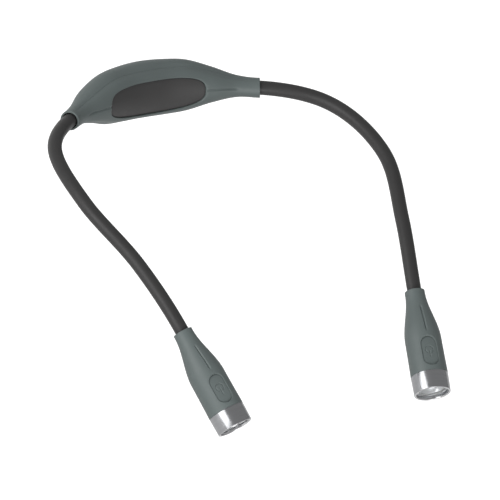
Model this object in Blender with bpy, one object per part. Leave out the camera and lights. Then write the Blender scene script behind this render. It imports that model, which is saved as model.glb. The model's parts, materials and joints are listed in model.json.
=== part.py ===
"""Neck reading light: a curved battery housing for the back of the neck, two gooseneck arms, two lamp heads.

Sizes are in metres. The light is laid out as it is worn: the mouths of the housing's two sleeves lie on
the X axis, +Y is the back and +Z is up. One parent empty then tips it back until it rests on a table.
"""

import math

import bmesh
import bpy
from mathutils import Matrix, Vector

# Fits
FIT_GAP = 0.0003
CUT_OVERRUN = 0.002
EDGE_BREAK = 0.0003
MERGE_DISTANCE = 0.000003
SMALL_SIDES = 12

# Colours (linear), roughness and metallic value of each finish
FINISHES = {
    "rubber": ((0.135, 0.16, 0.155), 0.55, 0.0),
    "arm_rubber": ((0.035, 0.035, 0.037), 0.5, 0.0),
    "charcoal_plastic": ((0.06, 0.06, 0.06), 0.45, 0.0),
    "black_plastic": ((0.02, 0.02, 0.022), 0.5, 0.0),
    "aluminium": ((0.75, 0.76, 0.78), 0.28, 1.0),
    "steel": ((0.55, 0.56, 0.58), 0.35, 1.0),
    "mirror": ((0.9, 0.9, 0.9), 0.08, 1.0),
    "lens": ((0.9, 0.93, 0.95), 0.05, 0.0),
    "circuit_board": ((0.03, 0.16, 0.07), 0.45, 0.0),
    "led": ((0.85, 0.78, 0.35), 0.3, 0.0),
    "cell": ((0.3, 0.31, 0.33), 0.3, 0.6),
    "seal": ((0.04, 0.04, 0.04), 0.6, 0.0),
}
SHARP_ANGLE = math.radians(35.0)

# Housing: the form that lies round the neck
SLEEVE_SPAN = 0.1278
SPINE_BACK = 0.0234
SPINE_EASE = 0.022
SLEEVE_EASE = 0.0211
SLEEVE_YAW = math.radians(34.0)
SLEEVE_PITCH = math.radians(-3.6)
HOUSING_HEIGHT = 0.0328
HOUSING_DEPTH = 0.0266
HOUSING_RISE = 0.0031
SECTION_TILT = math.radians(10.4)
HEIGHT_SHARES = (1.0, 0.963, 0.833, 0.434, 0.065, 0.0)
DEPTH_SHARES = (1.0, 0.935, 0.835, 0.6, 0.127, 0.0)
RISE_SHARES = (1.0, 0.97, 0.95, 0.79, 0.36, 0.0)
SECTION_POWER = 0.92
COVER_WALL = 0.002
WALL_TAPER_SHARE = 0.6
PARTING_ANGLE = math.radians(114.0)
VALLEY_DEPTH = 0.0011
VALLEY_ANGLE = math.radians(13.0)
VALLEY_END_SHARE = 0.3
VALLEY_FADE_SHARES = (0.85, 0.97)
EDGE_CROWD_SHARE = 0.6
HOUSING_STEPS = 12
REAR_OUTER_COUNT = 17
REAR_INNER_COUNT = 9
NECK_OUTER_COUNT = 13
NECK_INNER_COUNT = 7
BAY_REACH_SHARE = 0.7

# Arms
ARM_DIAMETER = 0.008
ARM_WALL = 0.0022
CORE_DIAMETER = 0.0028
ARM_OUT = 0.0362
ARM_FORWARD = 0.1309
ARM_DROP = 0.0906
ARM_ROUTE_SHARES = ((0.725, 0.181, 0.067), (1.0, 0.518, 0.302), (0.68, 0.79, 0.625))
HEAD_OUT_SHARE = 0.387
ARM_ROOT_SHARE = 0.7
ARM_SIDES = 12
CORE_SIDES = 6
RING_STEP = 0.009
ROUTE_STEPS = 24
ROOT_STEPS = 8
BEND_LENGTH = 0.018
BEND_PLACE_SHARES = (0.078, 0.48, 0.765, 0.92)
COLLAR_LENGTH = 0.005
COLLAR_WALL = 0.0016
CORE_TAIL = 0.0024

# Lamp heads, measured along the head from its sleeve end
SLEEVE_DIAMETER = 0.0112
SLEEVE_DEPTH = 0.0105
SLEEVE_CLEARANCE = 0.0006
SHELL_LENGTH = 0.0507
BEZEL_REACH = 0.0106
SHOULDER_START = 0.0015
SHOULDER_LENGTH = 0.028
BARREL_DIAMETER = 0.0204
BARREL_FLARE = 0.00035
HEAD_WALL = 0.0014
HEAD_YAW_IN = math.radians(18.6)
HEAD_DIP = math.radians(53.3)
BUTTON_AIM = Vector((-0.259, -0.803, 0.555))
HEAD_SIDES = 28
SHELL_RINGS = 9
CAVITY_STEPS = 4

# Inner barrel, which carries what is in the head
CARRIER_START = 0.015
CARRIER_SETBACK = 0.0017
CARRIER_WALL = 0.0012
CARRIER_NECK_DIAMETER = 0.0154
CARRIER_NECK_LENGTH = 0.005
INNER_SIDES = 18

# Bezel, lens and reflector
BEZEL_REAR_DIAMETER = 0.0209
BEZEL_MOUTH_DIAMETER = 0.0205
BEZEL_SKIRT_DIAMETER = 0.0176
BEZEL_SKIRT_WALL = 0.0007
BEZEL_SKIRT_LENGTH = 0.0022
BEZEL_SHOULDER = 0.0012
LIP_WIDTH = 0.0013
LIP_HEIGHT = 0.0013
LIP_SLOPE = 0.0004
LENS_THICKNESS = 0.0015
LENS_DIAMETER = 0.0186
SEAL_HEIGHT = 0.0008
SEAL_WIDTH = 0.0009
REFLECTOR_FLANGE = 0.0008
REFLECTOR_WALL = 0.0008
REFLECTOR_THROAT_DIAMETER = 0.0046
REFLECTOR_STEPS = 4
LED_BOARD_THICKNESS = 0.0012
LED_WIDTH = 0.003
LED_BASE_HEIGHT = 0.0006
LED_DOME_DIAMETER = 0.0024
LED_DOME_STEPS = 4

# Push button and its switch
BUTTON_SETBACK = 0.0115
BUTTON_LENGTH = 0.017
BUTTON_WIDTH = 0.0083
BUTTON_RECESS = 0.0005
BUTTON_TRAVEL = 0.0005
BUTTON_CROWN_SHARES = (1.0, 0.94, 0.7, 0.4, 0.1)
BUTTON_CORNER_STEPS = 7
SWITCH_BOARD_TOP = 0.0046
SWITCH_BOARD_THICKNESS = 0.001
SWITCH_BOARD_LENGTH = 0.019
SWITCH_WIDTH = 0.0046
SWITCH_HEIGHT = 0.0016
PLUNGER_DIAMETER = 0.0024
PLUNGER_HEIGHT = 0.0006

# Long V grooves
HEAD_GROOVE_START = 0.0112
HEAD_GROOVE_GAP = 0.0041
GROOVE_WIDTH = 0.0014
GROOVE_DEPTH = 0.00065
GROOVE_RUNOUT_SHARE = 0.12
GROOVE_RUNOUT_POWER = 0.6
HOUSING_GROOVE_END_SHARE = 0.8
HOUSING_GROOVE_TUCK_SHARE = 0.1
GROOVE_STEPS = 6

# Battery door and its pocket
DOOR_LENGTH = 0.0628
DOOR_TOP = 0.0094
DOOR_BOTTOM = 0.0099
DOOR_TOP_POWER = 4.3
DOOR_BOTTOM_POWER = 2.2
DOOR_SINK = 0.0009
DOOR_THICKNESS = 0.0016
DOOR_BLANK_SHARE = 1.2
DOOR_STEPS = 6
DOOR_COUNT = 8
DOOR_POINTS = 36

# Battery bay
CELL_DIAMETER = 0.0105
CELL_LENGTH = 0.0445
CELL_NUB_DIAMETER = 0.0038
CELL_NUB_LENGTH = 0.0008
CELL_SETBACK = 0.0015
TRAY_WALL = 0.0011
TRAY_RIM = 0.0035
CONTACT_THICKNESS = 0.0004
CONTACT_WIDTH = 0.008
SPRING_LENGTH = 0.0022
SPRING_DIAMETER = 0.006
SPRING_TIP_DIAMETER = 0.004
SPRING_WIRE = 0.0006
SPRING_TURNS = 3
SPRING_TURN_STEPS = 8
EAR_LENGTH = 0.0052
EAR_WIDTH = 0.0066
EAR_THICKNESS = 0.0014
SCREW_DIAMETER = 0.0018
SCREW_HEAD_DIAMETER = 0.0038
SCREW_HEAD_HEIGHT = 0.0011
SCREW_LENGTH = 0.006
BOSS_DIAMETER = 0.005
DRIVER_LENGTH = 0.03
DRIVER_WIDTH = 0.015
DRIVER_THICKNESS = 0.0012
CHIP_LENGTH = 0.005
CHIP_WIDTH = 0.004
CHIP_HEIGHT = 0.0012
CHIP_PLACE_SHARES = (-0.3, 0.0, 0.3)

# Sizes that follow
HALF_SPAN = SLEEVE_SPAN / 2
SLEEVE_RADIUS = SLEEVE_DIAMETER / 2
ARM_RADIUS = ARM_DIAMETER / 2
SLEEVE_BORE = ARM_RADIUS + SLEEVE_CLEARANCE
SLEEVE_WALL = SLEEVE_RADIUS - SLEEVE_BORE
CORE_RADIUS = CORE_DIAMETER / 2
COLLAR_BORE = CORE_RADIUS + FIT_GAP
COLLAR_RADIUS = COLLAR_BORE + COLLAR_WALL
HEAD_LENGTH = SHELL_LENGTH + BEZEL_REACH
CARRIER_END = SHELL_LENGTH - CARRIER_SETBACK
CARRIER_NECK = CARRIER_NECK_DIAMETER / 2
BUTTON_CENTRE = SHELL_LENGTH - BUTTON_SETBACK
HEAD_GROOVE_END = BUTTON_CENTRE - BUTTON_LENGTH / 2 - HEAD_GROOVE_GAP
SKIRT_RADIUS = BEZEL_SKIRT_DIAMETER / 2
LENS_RADIUS = LENS_DIAMETER / 2
HEAD_COLLAR_MIDDLE = CARRIER_START + CARRIER_WALL / 2
HEAD_CORE_END = HEAD_COLLAR_MIDDLE + COLLAR_LENGTH / 2 + CORE_TAIL
PARTING_HALF_GAP = FIT_GAP / HOUSING_DEPTH
REAR_EDGE = PARTING_ANGLE - PARTING_HALF_GAP
NECK_EDGE = PARTING_ANGLE + PARTING_HALF_GAP
DOOR_REACH_SHARE = DOOR_LENGTH / SLEEVE_SPAN
SIDES = ((-1, "left"), (1, "right"))
UP = Vector((0, 0, 1))


def smooth(share):
    """Ease from 0 to 1 with level ends."""
    share = min(max(share, 0.0), 1.0)
    return share * share * (3 - 2 * share)


def mix(a, b, share):
    return a + (b - a) * share


def read_shares(shares, place):
    """Smooth curve through evenly spaced shares, level at both ends."""
    last = len(shares) - 1
    at = min(max(place, 0.0), 1.0) * last
    i = min(int(at), last - 1)
    u = at - i
    before = shares[max(i - 1, 0)]
    after = shares[min(i + 2, last)]
    slope_a = (shares[i + 1] - before) / 2 if i > 0 else 0.0
    slope_b = (after - shares[i]) / 2 if i + 1 < last else 0.0
    ease = smooth(u)
    bend_a = u * (1 - u) * (1 - u)
    bend_b = u * u * (u - 1)
    return mix(shares[i], shares[i + 1], ease) + bend_a * slope_a + bend_b * slope_b


def signed_power(value, power):
    return math.copysign(abs(value) ** power, value)


def crowded(start, end, count):
    """Values from start to end that lie closer together near both ends."""
    middle = (start + end) / 2
    half = (end - start) / 2
    places = [2 * i / (count - 1) - 1 for i in range(count)]
    return [middle + half * (u + EDGE_CROWD_SHARE * math.sin(math.pi * u) / math.pi) for u in places]


def frame(origin, z_axis, x_hint):
    """Matrix with its origin and Z axis given, and X as near to x_hint as it can be."""
    z = z_axis.normalized()
    x = (x_hint - z * x_hint.dot(z)).normalized()
    y = z.cross(x)
    turn = Matrix((x, y, z)).transposed().to_4x4()
    return Matrix.Translation(origin) @ turn


def material(name, colour, roughness, metallic=0.0):
    made = bpy.data.materials.new(name)
    made.use_nodes = True
    shader = made.node_tree.nodes["Principled BSDF"]
    shader.inputs["Base Color"].default_value = (*colour, 1.0)
    shader.inputs["Roughness"].default_value = roughness
    shader.inputs["Metallic"].default_value = metallic
    made.diffuse_color = (*colour, 1.0)
    return made


class Place:
    """An empty with its matrix in the worn layout, so that pieces can be set on it."""

    def __init__(self, name, matrix, parent=None):
        self.matrix = matrix
        self.empty = bpy.data.objects.new(name, None)
        self.empty.empty_display_size = ARM_DIAMETER
        bpy.context.collection.objects.link(self.empty)
        if parent:
            self.empty.parent = parent.empty
            self.empty.matrix_local = parent.matrix.inverted() @ matrix


def add_object(name, data, place, finish, matrix=None):
    """Link a mesh or curve, given in the frame of matrix, under a place."""
    matrix = matrix or place.matrix
    piece = bpy.data.objects.new(name, data)
    bpy.context.collection.objects.link(piece)
    piece.parent = place.empty
    piece.matrix_local = place.matrix.inverted() @ matrix
    if finish:
        data.materials.append(material(name, *FINISHES[finish]))
    if isinstance(data, bpy.types.Mesh):
        data.shade_smooth()
        data.set_sharp_from_angle(angle=SHARP_ANGLE)
    return piece


def mesh_from(shape, name):
    """Turn a bmesh into a mesh whose faces look outward."""
    bmesh.ops.recalc_face_normals(shape, faces=shape.faces)
    if shape.calc_volume(signed=True) < 0:
        bmesh.ops.reverse_faces(shape, faces=shape.faces)
    mesh = bpy.data.meshes.new(name)
    shape.to_mesh(mesh)
    shape.free()
    return mesh


def ribbon(shape, outer, inner):
    """Close the gap between two rows of points that start and end side by side."""
    i = j = 0
    while i < len(outer) - 1 or j < len(inner) - 1:
        ahead_outer = (i + 1) / (len(outer) - 1)
        ahead_inner = (j + 1) / (len(inner) - 1)
        if ahead_outer <= ahead_inner:
            shape.faces.new((outer[i], outer[i + 1], inner[j]))
            i += 1
        else:
            shape.faces.new((outer[i], inner[j + 1], inner[j]))
            j += 1


def loft(shape, rings, closed=False, plate=0):
    """Skin a row of equal rings in a bmesh, as a closed round trip or with a cap at each end.

    For a curved plate, the first points of each ring are its outer side, and the caps are ribbons.
    """
    rows = [[shape.verts.new(point) for point in ring] for ring in rings]
    pairs = list(zip(rows, rows[1:]))
    if closed:
        pairs.append((rows[-1], rows[0]))
    for near, far in pairs:
        for i in range(len(near)):
            j = (i + 1) % len(near)
            shape.faces.new((near[i], near[j], far[j], far[i]))
    for row in () if closed else (rows[0], rows[-1]):
        if plate:
            ribbon(shape, row[:plate], row[:plate - 1:-1])
        else:
            shape.faces.new(row)
    return shape


def turned(outline, sides):
    """Spin an outline of (radius, along) points round Z; it may start and end on the axis."""
    shape = bmesh.new()
    row = [shape.verts.new((radius, 0, along)) for radius, along in outline]
    edges = [shape.edges.new(pair) for pair in zip(row, row[1:])]
    on_axis = outline[0][0] == 0 and outline[-1][0] == 0
    if not on_axis:
        edges.append(shape.edges.new((row[-1], row[0])))
    bmesh.ops.spin(shape, geom=row + edges, cent=(0, 0, 0), axis=(0, 0, 1), angle=math.tau,
                   steps=sides, use_merge=True, use_duplicate=False)
    bmesh.ops.remove_doubles(shape, verts=shape.verts, dist=MERGE_DISTANCE)
    return shape


def round_bar(radius, low, high, sides=SMALL_SIDES):
    return turned([(0, low), (radius, low), (radius, high), (0, high)], sides)


def block(size, centre, shape=None):
    shape = shape or bmesh.new()
    matrix = Matrix.Translation(centre) @ Matrix.Diagonal((*size, 1))
    bmesh.ops.create_cube(shape, size=1, matrix=matrix)
    return shape


def prism(outline, low, high):
    """Extrude a closed outline of (x, y) points from low to high along Z."""
    return loft(bmesh.new(), [[(x, y, z) for x, y in outline] for z in (low, high)])


def hidden_tool(name, shape, place, matrix=None):
    """A body that only cuts, trims or adds to another."""
    tool = add_object(name, mesh_from(shape, name), place, None, matrix)
    tool.hide_render = True
    tool.display_type = "WIRE"
    return tool


def combine(target, tool, operation="DIFFERENCE"):
    step = target.modifiers.new(tool.name, "BOOLEAN")
    step.object = tool
    step.operation = operation
    step.solver = "EXACT"


# Housing surface


def spine_at(place):
    """Point on the housing's centre line and its direction, from 0 in the middle to 1 at a sleeve end."""
    end = Vector((HALF_SPAN, 0, 0))
    points = (
        Vector((0, SPINE_BACK, 0)),
        Vector((SPINE_EASE, SPINE_BACK, 0)),
        end - SLEEVE_EASE * Vector((math.cos(SLEEVE_YAW), -math.sin(SLEEVE_YAW), 0)),
        end,
    )
    a, b, c, d = points
    u = 1 - place
    point = a * u ** 3 + b * (3 * u * u * place) + c * (3 * u * place * place) + d * place ** 3
    along = (b - a) * (u * u) + (c - b) * (2 * u * place) + (d - c) * (place * place)
    point.z = HOUSING_RISE * read_shares(RISE_SHARES, place)
    return point, along.normalized()


def cover_wall(place):
    taper = (place - WALL_TAPER_SHARE) / (1 - WALL_TAPER_SHARE)
    return mix(COVER_WALL, SLEEVE_WALL, smooth(taper))


def housing_point(place, angle, inset=0.0, valley=1.0):
    """Point on the housing at a place from -1 to 1 along it and an angle round it, 0 at the back."""
    side = math.copysign(1, place)
    place = abs(place)
    point, along = spine_at(place)
    back = Vector((-along.y, along.x, 0))
    half_depth = mix(SLEEVE_RADIUS, HOUSING_DEPTH / 2, read_shares(DEPTH_SHARES, place)) - inset
    half_height = mix(SLEEVE_RADIUS, HOUSING_HEIGHT / 2, read_shares(HEIGHT_SHARES, place)) - inset
    power = mix(SECTION_POWER, 1.0, place)
    a = half_depth * signed_power(math.cos(angle), power)
    b = half_height * signed_power(math.sin(angle), power)
    from_parting = (abs(math.remainder(angle, math.tau)) - PARTING_ANGLE) / VALLEY_ANGLE
    fade_start, fade_end = VALLEY_FADE_SHARES
    faded = 1 - smooth((place - fade_start) / (fade_end - fade_start))
    dip = VALLEY_DEPTH * mix(1.0, VALLEY_END_SHARE, smooth(place)) * faded
    shrink = 1 - valley * dip * math.exp(-from_parting * from_parting) / math.hypot(a, b)
    tilt = SECTION_TILT * (1 - place)
    out = shrink * (a * math.cos(tilt) - b * math.sin(tilt))
    up = shrink * (a * math.sin(tilt) + b * math.cos(tilt))
    point = point + back * out + UP * up
    return Vector((side * point.x, point.y, point.z))


def housing_places(reach=1.0, steps=HOUSING_STEPS):
    return [reach * i / steps for i in range(-steps, steps + 1)]


def layer_rings(places, start, end, outer, inner, outer_count, inner_count, valley=1.0):
    """Rings of a curved plate that lies between two insets of the housing's surface."""
    rings = []
    for place in places:
        out_inset = outer(abs(place))
        in_inset = inner(abs(place))
        ring = [housing_point(place, angle, out_inset, valley)
                for angle in crowded(start, end, outer_count)]
        ring += [housing_point(place, angle, in_inset, 0.0)
                 for angle in reversed(crowded(start, end, inner_count))]
        rings.append(ring)
    return rings


def cover(name, start, end, outer_count, inner_count, place):
    def no_inset(_):
        return 0.0

    rings = layer_rings(housing_places(), start, end, no_inset, cover_wall, outer_count, inner_count)
    shape = loft(bmesh.new(), rings, plate=outer_count)
    bmesh.ops.triangulate(shape, faces=shape.faces)
    return add_object(name, mesh_from(shape, name), place, "rubber")


def cavity(name, inset, place):
    """The space inside the covers, with their facets, as a tool that trims what must fit in it."""
    turn = crowded(-REAR_EDGE, REAR_EDGE, REAR_INNER_COUNT)
    turn += crowded(NECK_EDGE, math.tau - NECK_EDGE, NECK_INNER_COUNT)
    rings = []
    for along in housing_places():
        if abs(along) < BAY_REACH_SHARE:
            rings.append([housing_point(along, angle, inset, 0.0) for angle in turn])
    shape = loft(bmesh.new(), rings)
    bmesh.ops.triangulate(shape, faces=shape.faces)
    return hidden_tool(name, shape, place)


def bay_matrix():
    """Battery bay: origin on the housing's middle, Z out towards the neck, Y up along the door."""
    middle, _ = spine_at(0.0)
    out = Vector((0, -math.cos(SECTION_TILT), -math.sin(SECTION_TILT)))
    return frame(middle, out, Vector((1, 0, 0)))


def door_outline(clearance):
    """Door seen from the neck: an oblong, squarer in its upper corners than in its lower ones."""
    points = []
    for i in range(DOOR_POINTS):
        angle = math.tau * i / DOOR_POINTS
        x, y = math.cos(angle), math.sin(angle)
        tall, power = (DOOR_TOP, DOOR_TOP_POWER) if y > 0 else (DOOR_BOTTOM, DOOR_BOTTOM_POWER)
        reach = (abs(x) ** power + abs(y) ** power) ** (-1 / power)
        points.append(((DOOR_LENGTH / 2 + clearance) * x * reach, (tall + clearance) * y * reach))
    return points


def groove_tool(name, line, across, inward, place, matrix=None):
    """Cutter for a V groove that runs out to nothing at both ends of a line of surface points."""
    rings = []
    last = len(line) - 1
    for i, point in enumerate(line):
        along = mix(GROOVE_RUNOUT_SHARE, 1 - GROOVE_RUNOUT_SHARE, i / last)
        share = math.sin(math.pi * along) ** GROOVE_RUNOUT_POWER
        half = GROOVE_WIDTH / 2 * share
        depth = GROOVE_DEPTH * share
        spread = (depth + CUT_OVERRUN) / depth
        top = point - inward[i] * CUT_OVERRUN
        rings.append((top - across[i] * half * spread, point + inward[i] * depth,
                      top + across[i] * half * spread))
    return hidden_tool(name, loft(bmesh.new(), rings), place, matrix)


# Housing pieces


def build_covers(place):
    bay = bay_matrix()
    rear = cover("rear_cover", -REAR_EDGE, REAR_EDGE, REAR_OUTER_COUNT, REAR_INNER_COUNT, place)
    neck = cover("neck_cover", NECK_EDGE, math.tau - NECK_EDGE, NECK_OUTER_COUNT, NECK_INNER_COUNT, place)

    window = prism(door_outline(FIT_GAP), 0, HOUSING_DEPTH)
    combine(neck, hidden_tool("door_window_cutter", window, place, bay))
    start = DOOR_REACH_SHARE * (1 - HOUSING_GROOVE_TUCK_SHARE)
    for side, label in SIDES:
        places = [side * mix(start, HOUSING_GROOVE_END_SHARE, i / GROOVE_STEPS)
                  for i in range(GROOVE_STEPS + 1)]
        line = [housing_point(at, math.pi) for at in places]
        inward = [(housing_point(at, 0) - housing_point(at, math.pi)).normalized() for at in places]
        across = [UP] * len(line)
        combine(neck, groove_tool(label + "_housing_groove_cutter", line, across, inward, place))

    trim = boss_trim(place)
    for side, label in SIDES:
        at = Matrix.Translation((side * screw_place(), 0, 0))
        top = ear_bottom() - FIT_GAP
        boss = round_bar(BOSS_DIAMETER / 2, -HOUSING_DEPTH / 2, top)
        boss_tool = hidden_tool(label + "_boss", boss, place, bay @ at)
        combine(boss_tool, trim, "INTERSECT")
        combine(rear, boss_tool, "UNION")
        drill = round_bar(SCREW_DIAMETER / 2 + FIT_GAP, screw_tip() - FIT_GAP, top + CUT_OVERRUN)
        combine(rear, hidden_tool(label + "_boss_drill", drill, place, bay @ at))


def boss_trim(place):
    """Form that ends each boss inside the rear cover's wall."""
    turn = [math.tau * i / REAR_OUTER_COUNT for i in range(REAR_OUTER_COUNT)]
    rings = [[housing_point(along, angle, COVER_WALL / 2, 0.0) for angle in turn]
             for along in housing_places(BAY_REACH_SHARE)]
    return hidden_tool("boss_trim", loft(bmesh.new(), rings), place)


def screw_place():
    return CELL_LENGTH / 2 + SPRING_LENGTH + CONTACT_THICKNESS + TRAY_WALL + EAR_LENGTH / 2 + FIT_GAP


def ear_bottom():
    return CELL_SETBACK - EAR_THICKNESS


def screw_tip():
    return CELL_SETBACK + FIT_GAP - SCREW_LENGTH


def build_door(place):
    """Battery door: a slice of the housing's own curve, sunk in its pocket."""
    bay = bay_matrix()

    def outer(_):
        return DOOR_SINK

    def inner(_):
        return DOOR_SINK + DOOR_THICKNESS

    margin = PARTING_ANGLE + VALLEY_ANGLE / 2
    places = housing_places(DOOR_REACH_SHARE * DOOR_BLANK_SHARE, DOOR_STEPS)
    rings = layer_rings(places, margin, math.tau - margin, outer, inner, DOOR_COUNT, DOOR_COUNT, 0.0)
    shape = loft(bmesh.new(), rings, plate=DOOR_COUNT)
    bmesh.ops.triangulate(shape, faces=shape.faces)
    slide = Place("battery_door_slide", bay, place)
    mesh = mesh_from(shape, "battery_door")
    mesh.transform(bay.inverted())
    door = add_object("battery_door", mesh, slide, "charcoal_plastic")
    edge = prism(door_outline(0.0), 0, HOUSING_DEPTH)
    combine(door, hidden_tool("battery_door_outline", edge, slide), "INTERSECT")


def cell_centres():
    half = (CELL_DIAMETER + FIT_GAP) / 2
    return ((half, 1), (-half, -1))


def build_bay(place):
    bay = Place("battery_bay", bay_matrix(), place)
    cavity_tool = cavity("tray_trim", COVER_WALL + FIT_GAP, place)
    pocket_half = CELL_LENGTH / 2 + SPRING_LENGTH + CONTACT_THICKNESS
    cup = CELL_DIAMETER / 2 + FIT_GAP
    tray_high = 2 * (CELL_DIAMETER + FIT_GAP + TRAY_WALL)
    tray_bottom = CELL_SETBACK - cup - TRAY_WALL
    tray_top = CELL_SETBACK + TRAY_RIM
    tray_length = 2 * (pocket_half + TRAY_WALL)
    size = (tray_length, tray_high, tray_top - tray_bottom)
    tray = add_object("battery_tray", mesh_from(block(size, (0, 0, (tray_top + tray_bottom) / 2)),
                                                "battery_tray"), bay, "black_plastic")
    combine(tray, cavity_tool, "INTERSECT")
    for count, (height, _) in enumerate(cell_centres()):
        turn = Matrix.Rotation(math.pi / 2, 4, "Y")
        at = Matrix.Translation((0, height, CELL_SETBACK)) @ turn
        bore = round_bar(cup, -pocket_half, pocket_half, INNER_SIDES)
        combine(tray, hidden_tool(f"cell_bore_{count + 1}", bore, bay, bay.matrix @ at))
        mouth = block((2 * pocket_half, 2 * cup - FIT_GAP, HOUSING_DEPTH),
                      (0, height, CELL_SETBACK + HOUSING_DEPTH / 2))
        combine(tray, hidden_tool(f"cell_mouth_{count + 1}", mouth, bay))

    slot_low = CELL_SETBACK - CONTACT_WIDTH / 2 - FIT_GAP
    slot_long = CONTACT_THICKNESS + FIT_GAP
    slot_size = (slot_long, contact_height() + 2 * FIT_GAP, HOUSING_DEPTH)
    for side, label in SIDES:
        centre = (side * (pocket_half - slot_long / 2), 0, slot_low + HOUSING_DEPTH / 2)
        slot = block(slot_size, centre)
        combine(tray, hidden_tool(label + "_contact_slot", slot, bay))

    for side, label in SIDES:
        inner_end = side * (pocket_half + TRAY_WALL / 2)
        ear_end = side * (screw_place() + EAR_LENGTH / 2)
        middle = (inner_end + ear_end) / 2
        ear = block((abs(ear_end - inner_end), EAR_WIDTH, EAR_THICKNESS),
                    (middle, 0, ear_bottom() + EAR_THICKNESS / 2))
        combine(tray, hidden_tool(label + "_tray_ear", ear, bay), "UNION")
        drill = round_bar(SCREW_DIAMETER / 2 + FIT_GAP, -HOUSING_DEPTH, HOUSING_DEPTH)
        at = Matrix.Translation((side * screw_place(), 0, 0))
        combine(tray, hidden_tool(label + "_ear_hole", drill, bay, bay.matrix @ at))

    build_cells(bay)
    build_contacts(bay, pocket_half)
    build_screws(bay)
    build_driver(bay, tray_bottom, cavity_tool)


def contact_height():
    """Height of both contacts together, one above the other."""
    (upper, _), (lower, _) = cell_centres()
    return upper - lower + CONTACT_WIDTH


def build_cells(bay):
    for count, (height, way) in enumerate(cell_centres()):
        half = CELL_LENGTH / 2
        body_end = half - CELL_NUB_LENGTH
        radius = CELL_DIAMETER / 2
        nub = CELL_NUB_DIAMETER / 2
        outline = [(0, -half), (radius - EDGE_BREAK, -half), (radius, EDGE_BREAK - half),
                   (radius, body_end - EDGE_BREAK), (radius - EDGE_BREAK, body_end), (nub, body_end),
                   (nub, half), (0, half)]
        turn = Matrix.Rotation(way * math.pi / 2, 4, "Y")
        at = Matrix.Translation((0, height, CELL_SETBACK)) @ turn
        name = f"battery_cell_{count + 1}"
        add_object(name, mesh_from(turned(outline, INNER_SIDES), name), bay, "cell", bay.matrix @ at)


def build_contacts(bay, pocket_half):
    """A plate that bridges both cells at one end, two terminal plates at the other, and two springs."""
    thick = CONTACT_THICKNESS - FIT_GAP / 2
    at = pocket_half - CONTACT_THICKNESS / 2 - FIT_GAP / 2
    bridge = block((thick, contact_height(), CONTACT_WIDTH), (-at, 0, CELL_SETBACK))
    add_object("contact_bridge", mesh_from(bridge, "contact_bridge"), bay, "steel")
    for count, (height, way) in enumerate(cell_centres()):
        name = f"contact_plate_{count + 1}"
        plate = block((thick, CONTACT_WIDTH, CONTACT_WIDTH), (at, height, CELL_SETBACK))
        add_object(name, mesh_from(plate, name), bay, "steel")
        contact_spring(f"contact_spring_{count + 1}", bay, height, way, pocket_half)


def contact_spring(name, bay, height, way, pocket_half):
    """Conical coil between a plate and the flat end of a cell."""
    curve = bpy.data.curves.new(name, "CURVE")
    curve.dimensions = "3D"
    curve.bevel_depth = SPRING_WIRE / 2
    curve.bevel_resolution = 0
    curve.use_fill_caps = True
    start = CELL_LENGTH / 2 + FIT_GAP + SPRING_WIRE / 2
    end = pocket_half - CONTACT_THICKNESS - FIT_GAP - SPRING_WIRE / 2
    steps = SPRING_TURN_STEPS * SPRING_TURNS
    spline = curve.splines.new("POLY")
    spline.points.add(steps)
    for i in range(steps + 1):
        share = i / steps
        radius = mix(SPRING_TIP_DIAMETER, SPRING_DIAMETER, share) / 2
        angle = math.tau * SPRING_TURNS * share
        x = -way * mix(start, end, share)
        y = height + radius * math.cos(angle)
        z = CELL_SETBACK + radius * math.sin(angle)
        spline.points[i].co = (x, y, z, 1)
    add_object(name, curve, bay, "steel")


def build_screws(bay):
    under_head = screw_tip() + SCREW_LENGTH
    head = SCREW_HEAD_DIAMETER / 2
    shank = SCREW_DIAMETER / 2
    outline = [(0, screw_tip()), (shank, screw_tip()), (shank, under_head),
               (head, under_head), (head, under_head + SCREW_HEAD_HEIGHT - EDGE_BREAK),
               (head - EDGE_BREAK, under_head + SCREW_HEAD_HEIGHT), (0, under_head + SCREW_HEAD_HEIGHT)]
    for side, label in SIDES:
        name = label + "_case_screw"
        at = Matrix.Translation((side * screw_place(), 0, 0))
        add_object(name, mesh_from(turned(outline, SMALL_SIDES), name), bay, "steel", bay.matrix @ at)


def build_driver(bay, tray_bottom, cavity_tool):
    top = tray_bottom - FIT_GAP
    middle = top - DRIVER_THICKNESS / 2
    board = block((DRIVER_LENGTH, DRIVER_WIDTH, DRIVER_THICKNESS), (0, 0, middle))
    driver = add_object("driver_board", mesh_from(board, "driver_board"), bay, "circuit_board")
    chips = bmesh.new()
    depth = CHIP_HEIGHT + DRIVER_THICKNESS / 2
    for share in CHIP_PLACE_SHARES:
        block((CHIP_LENGTH, CHIP_WIDTH, depth), (share * DRIVER_LENGTH, 0, middle - depth / 2), chips)
    combine(driver, hidden_tool("driver_chips", chips, bay), "UNION")
    combine(driver, cavity_tool, "INTERSECT")


# Arms


def hermite(start, start_way, end, end_way, share):
    length = (end - start).length
    u = share
    return (start * (2 * u ** 3 - 3 * u * u + 1) + start_way * (length * (u ** 3 - 2 * u * u + u))
            + end * (3 * u * u - 2 * u ** 3) + end_way * (length * (u ** 3 - u * u)))


def sleeve_way():
    flat = math.cos(SLEEVE_PITCH)
    return Vector((flat * math.cos(SLEEVE_YAW), -flat * math.sin(SLEEVE_YAW), math.sin(SLEEVE_PITCH)))


def head_way():
    flat = math.cos(HEAD_DIP)
    return Vector((-flat * math.sin(HEAD_YAW_IN), -flat * math.cos(HEAD_YAW_IN), -math.sin(HEAD_DIP)))


def head_start():
    return Vector((HALF_SPAN + ARM_OUT * HEAD_OUT_SHARE, -ARM_FORWARD, -ARM_DROP))


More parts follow.
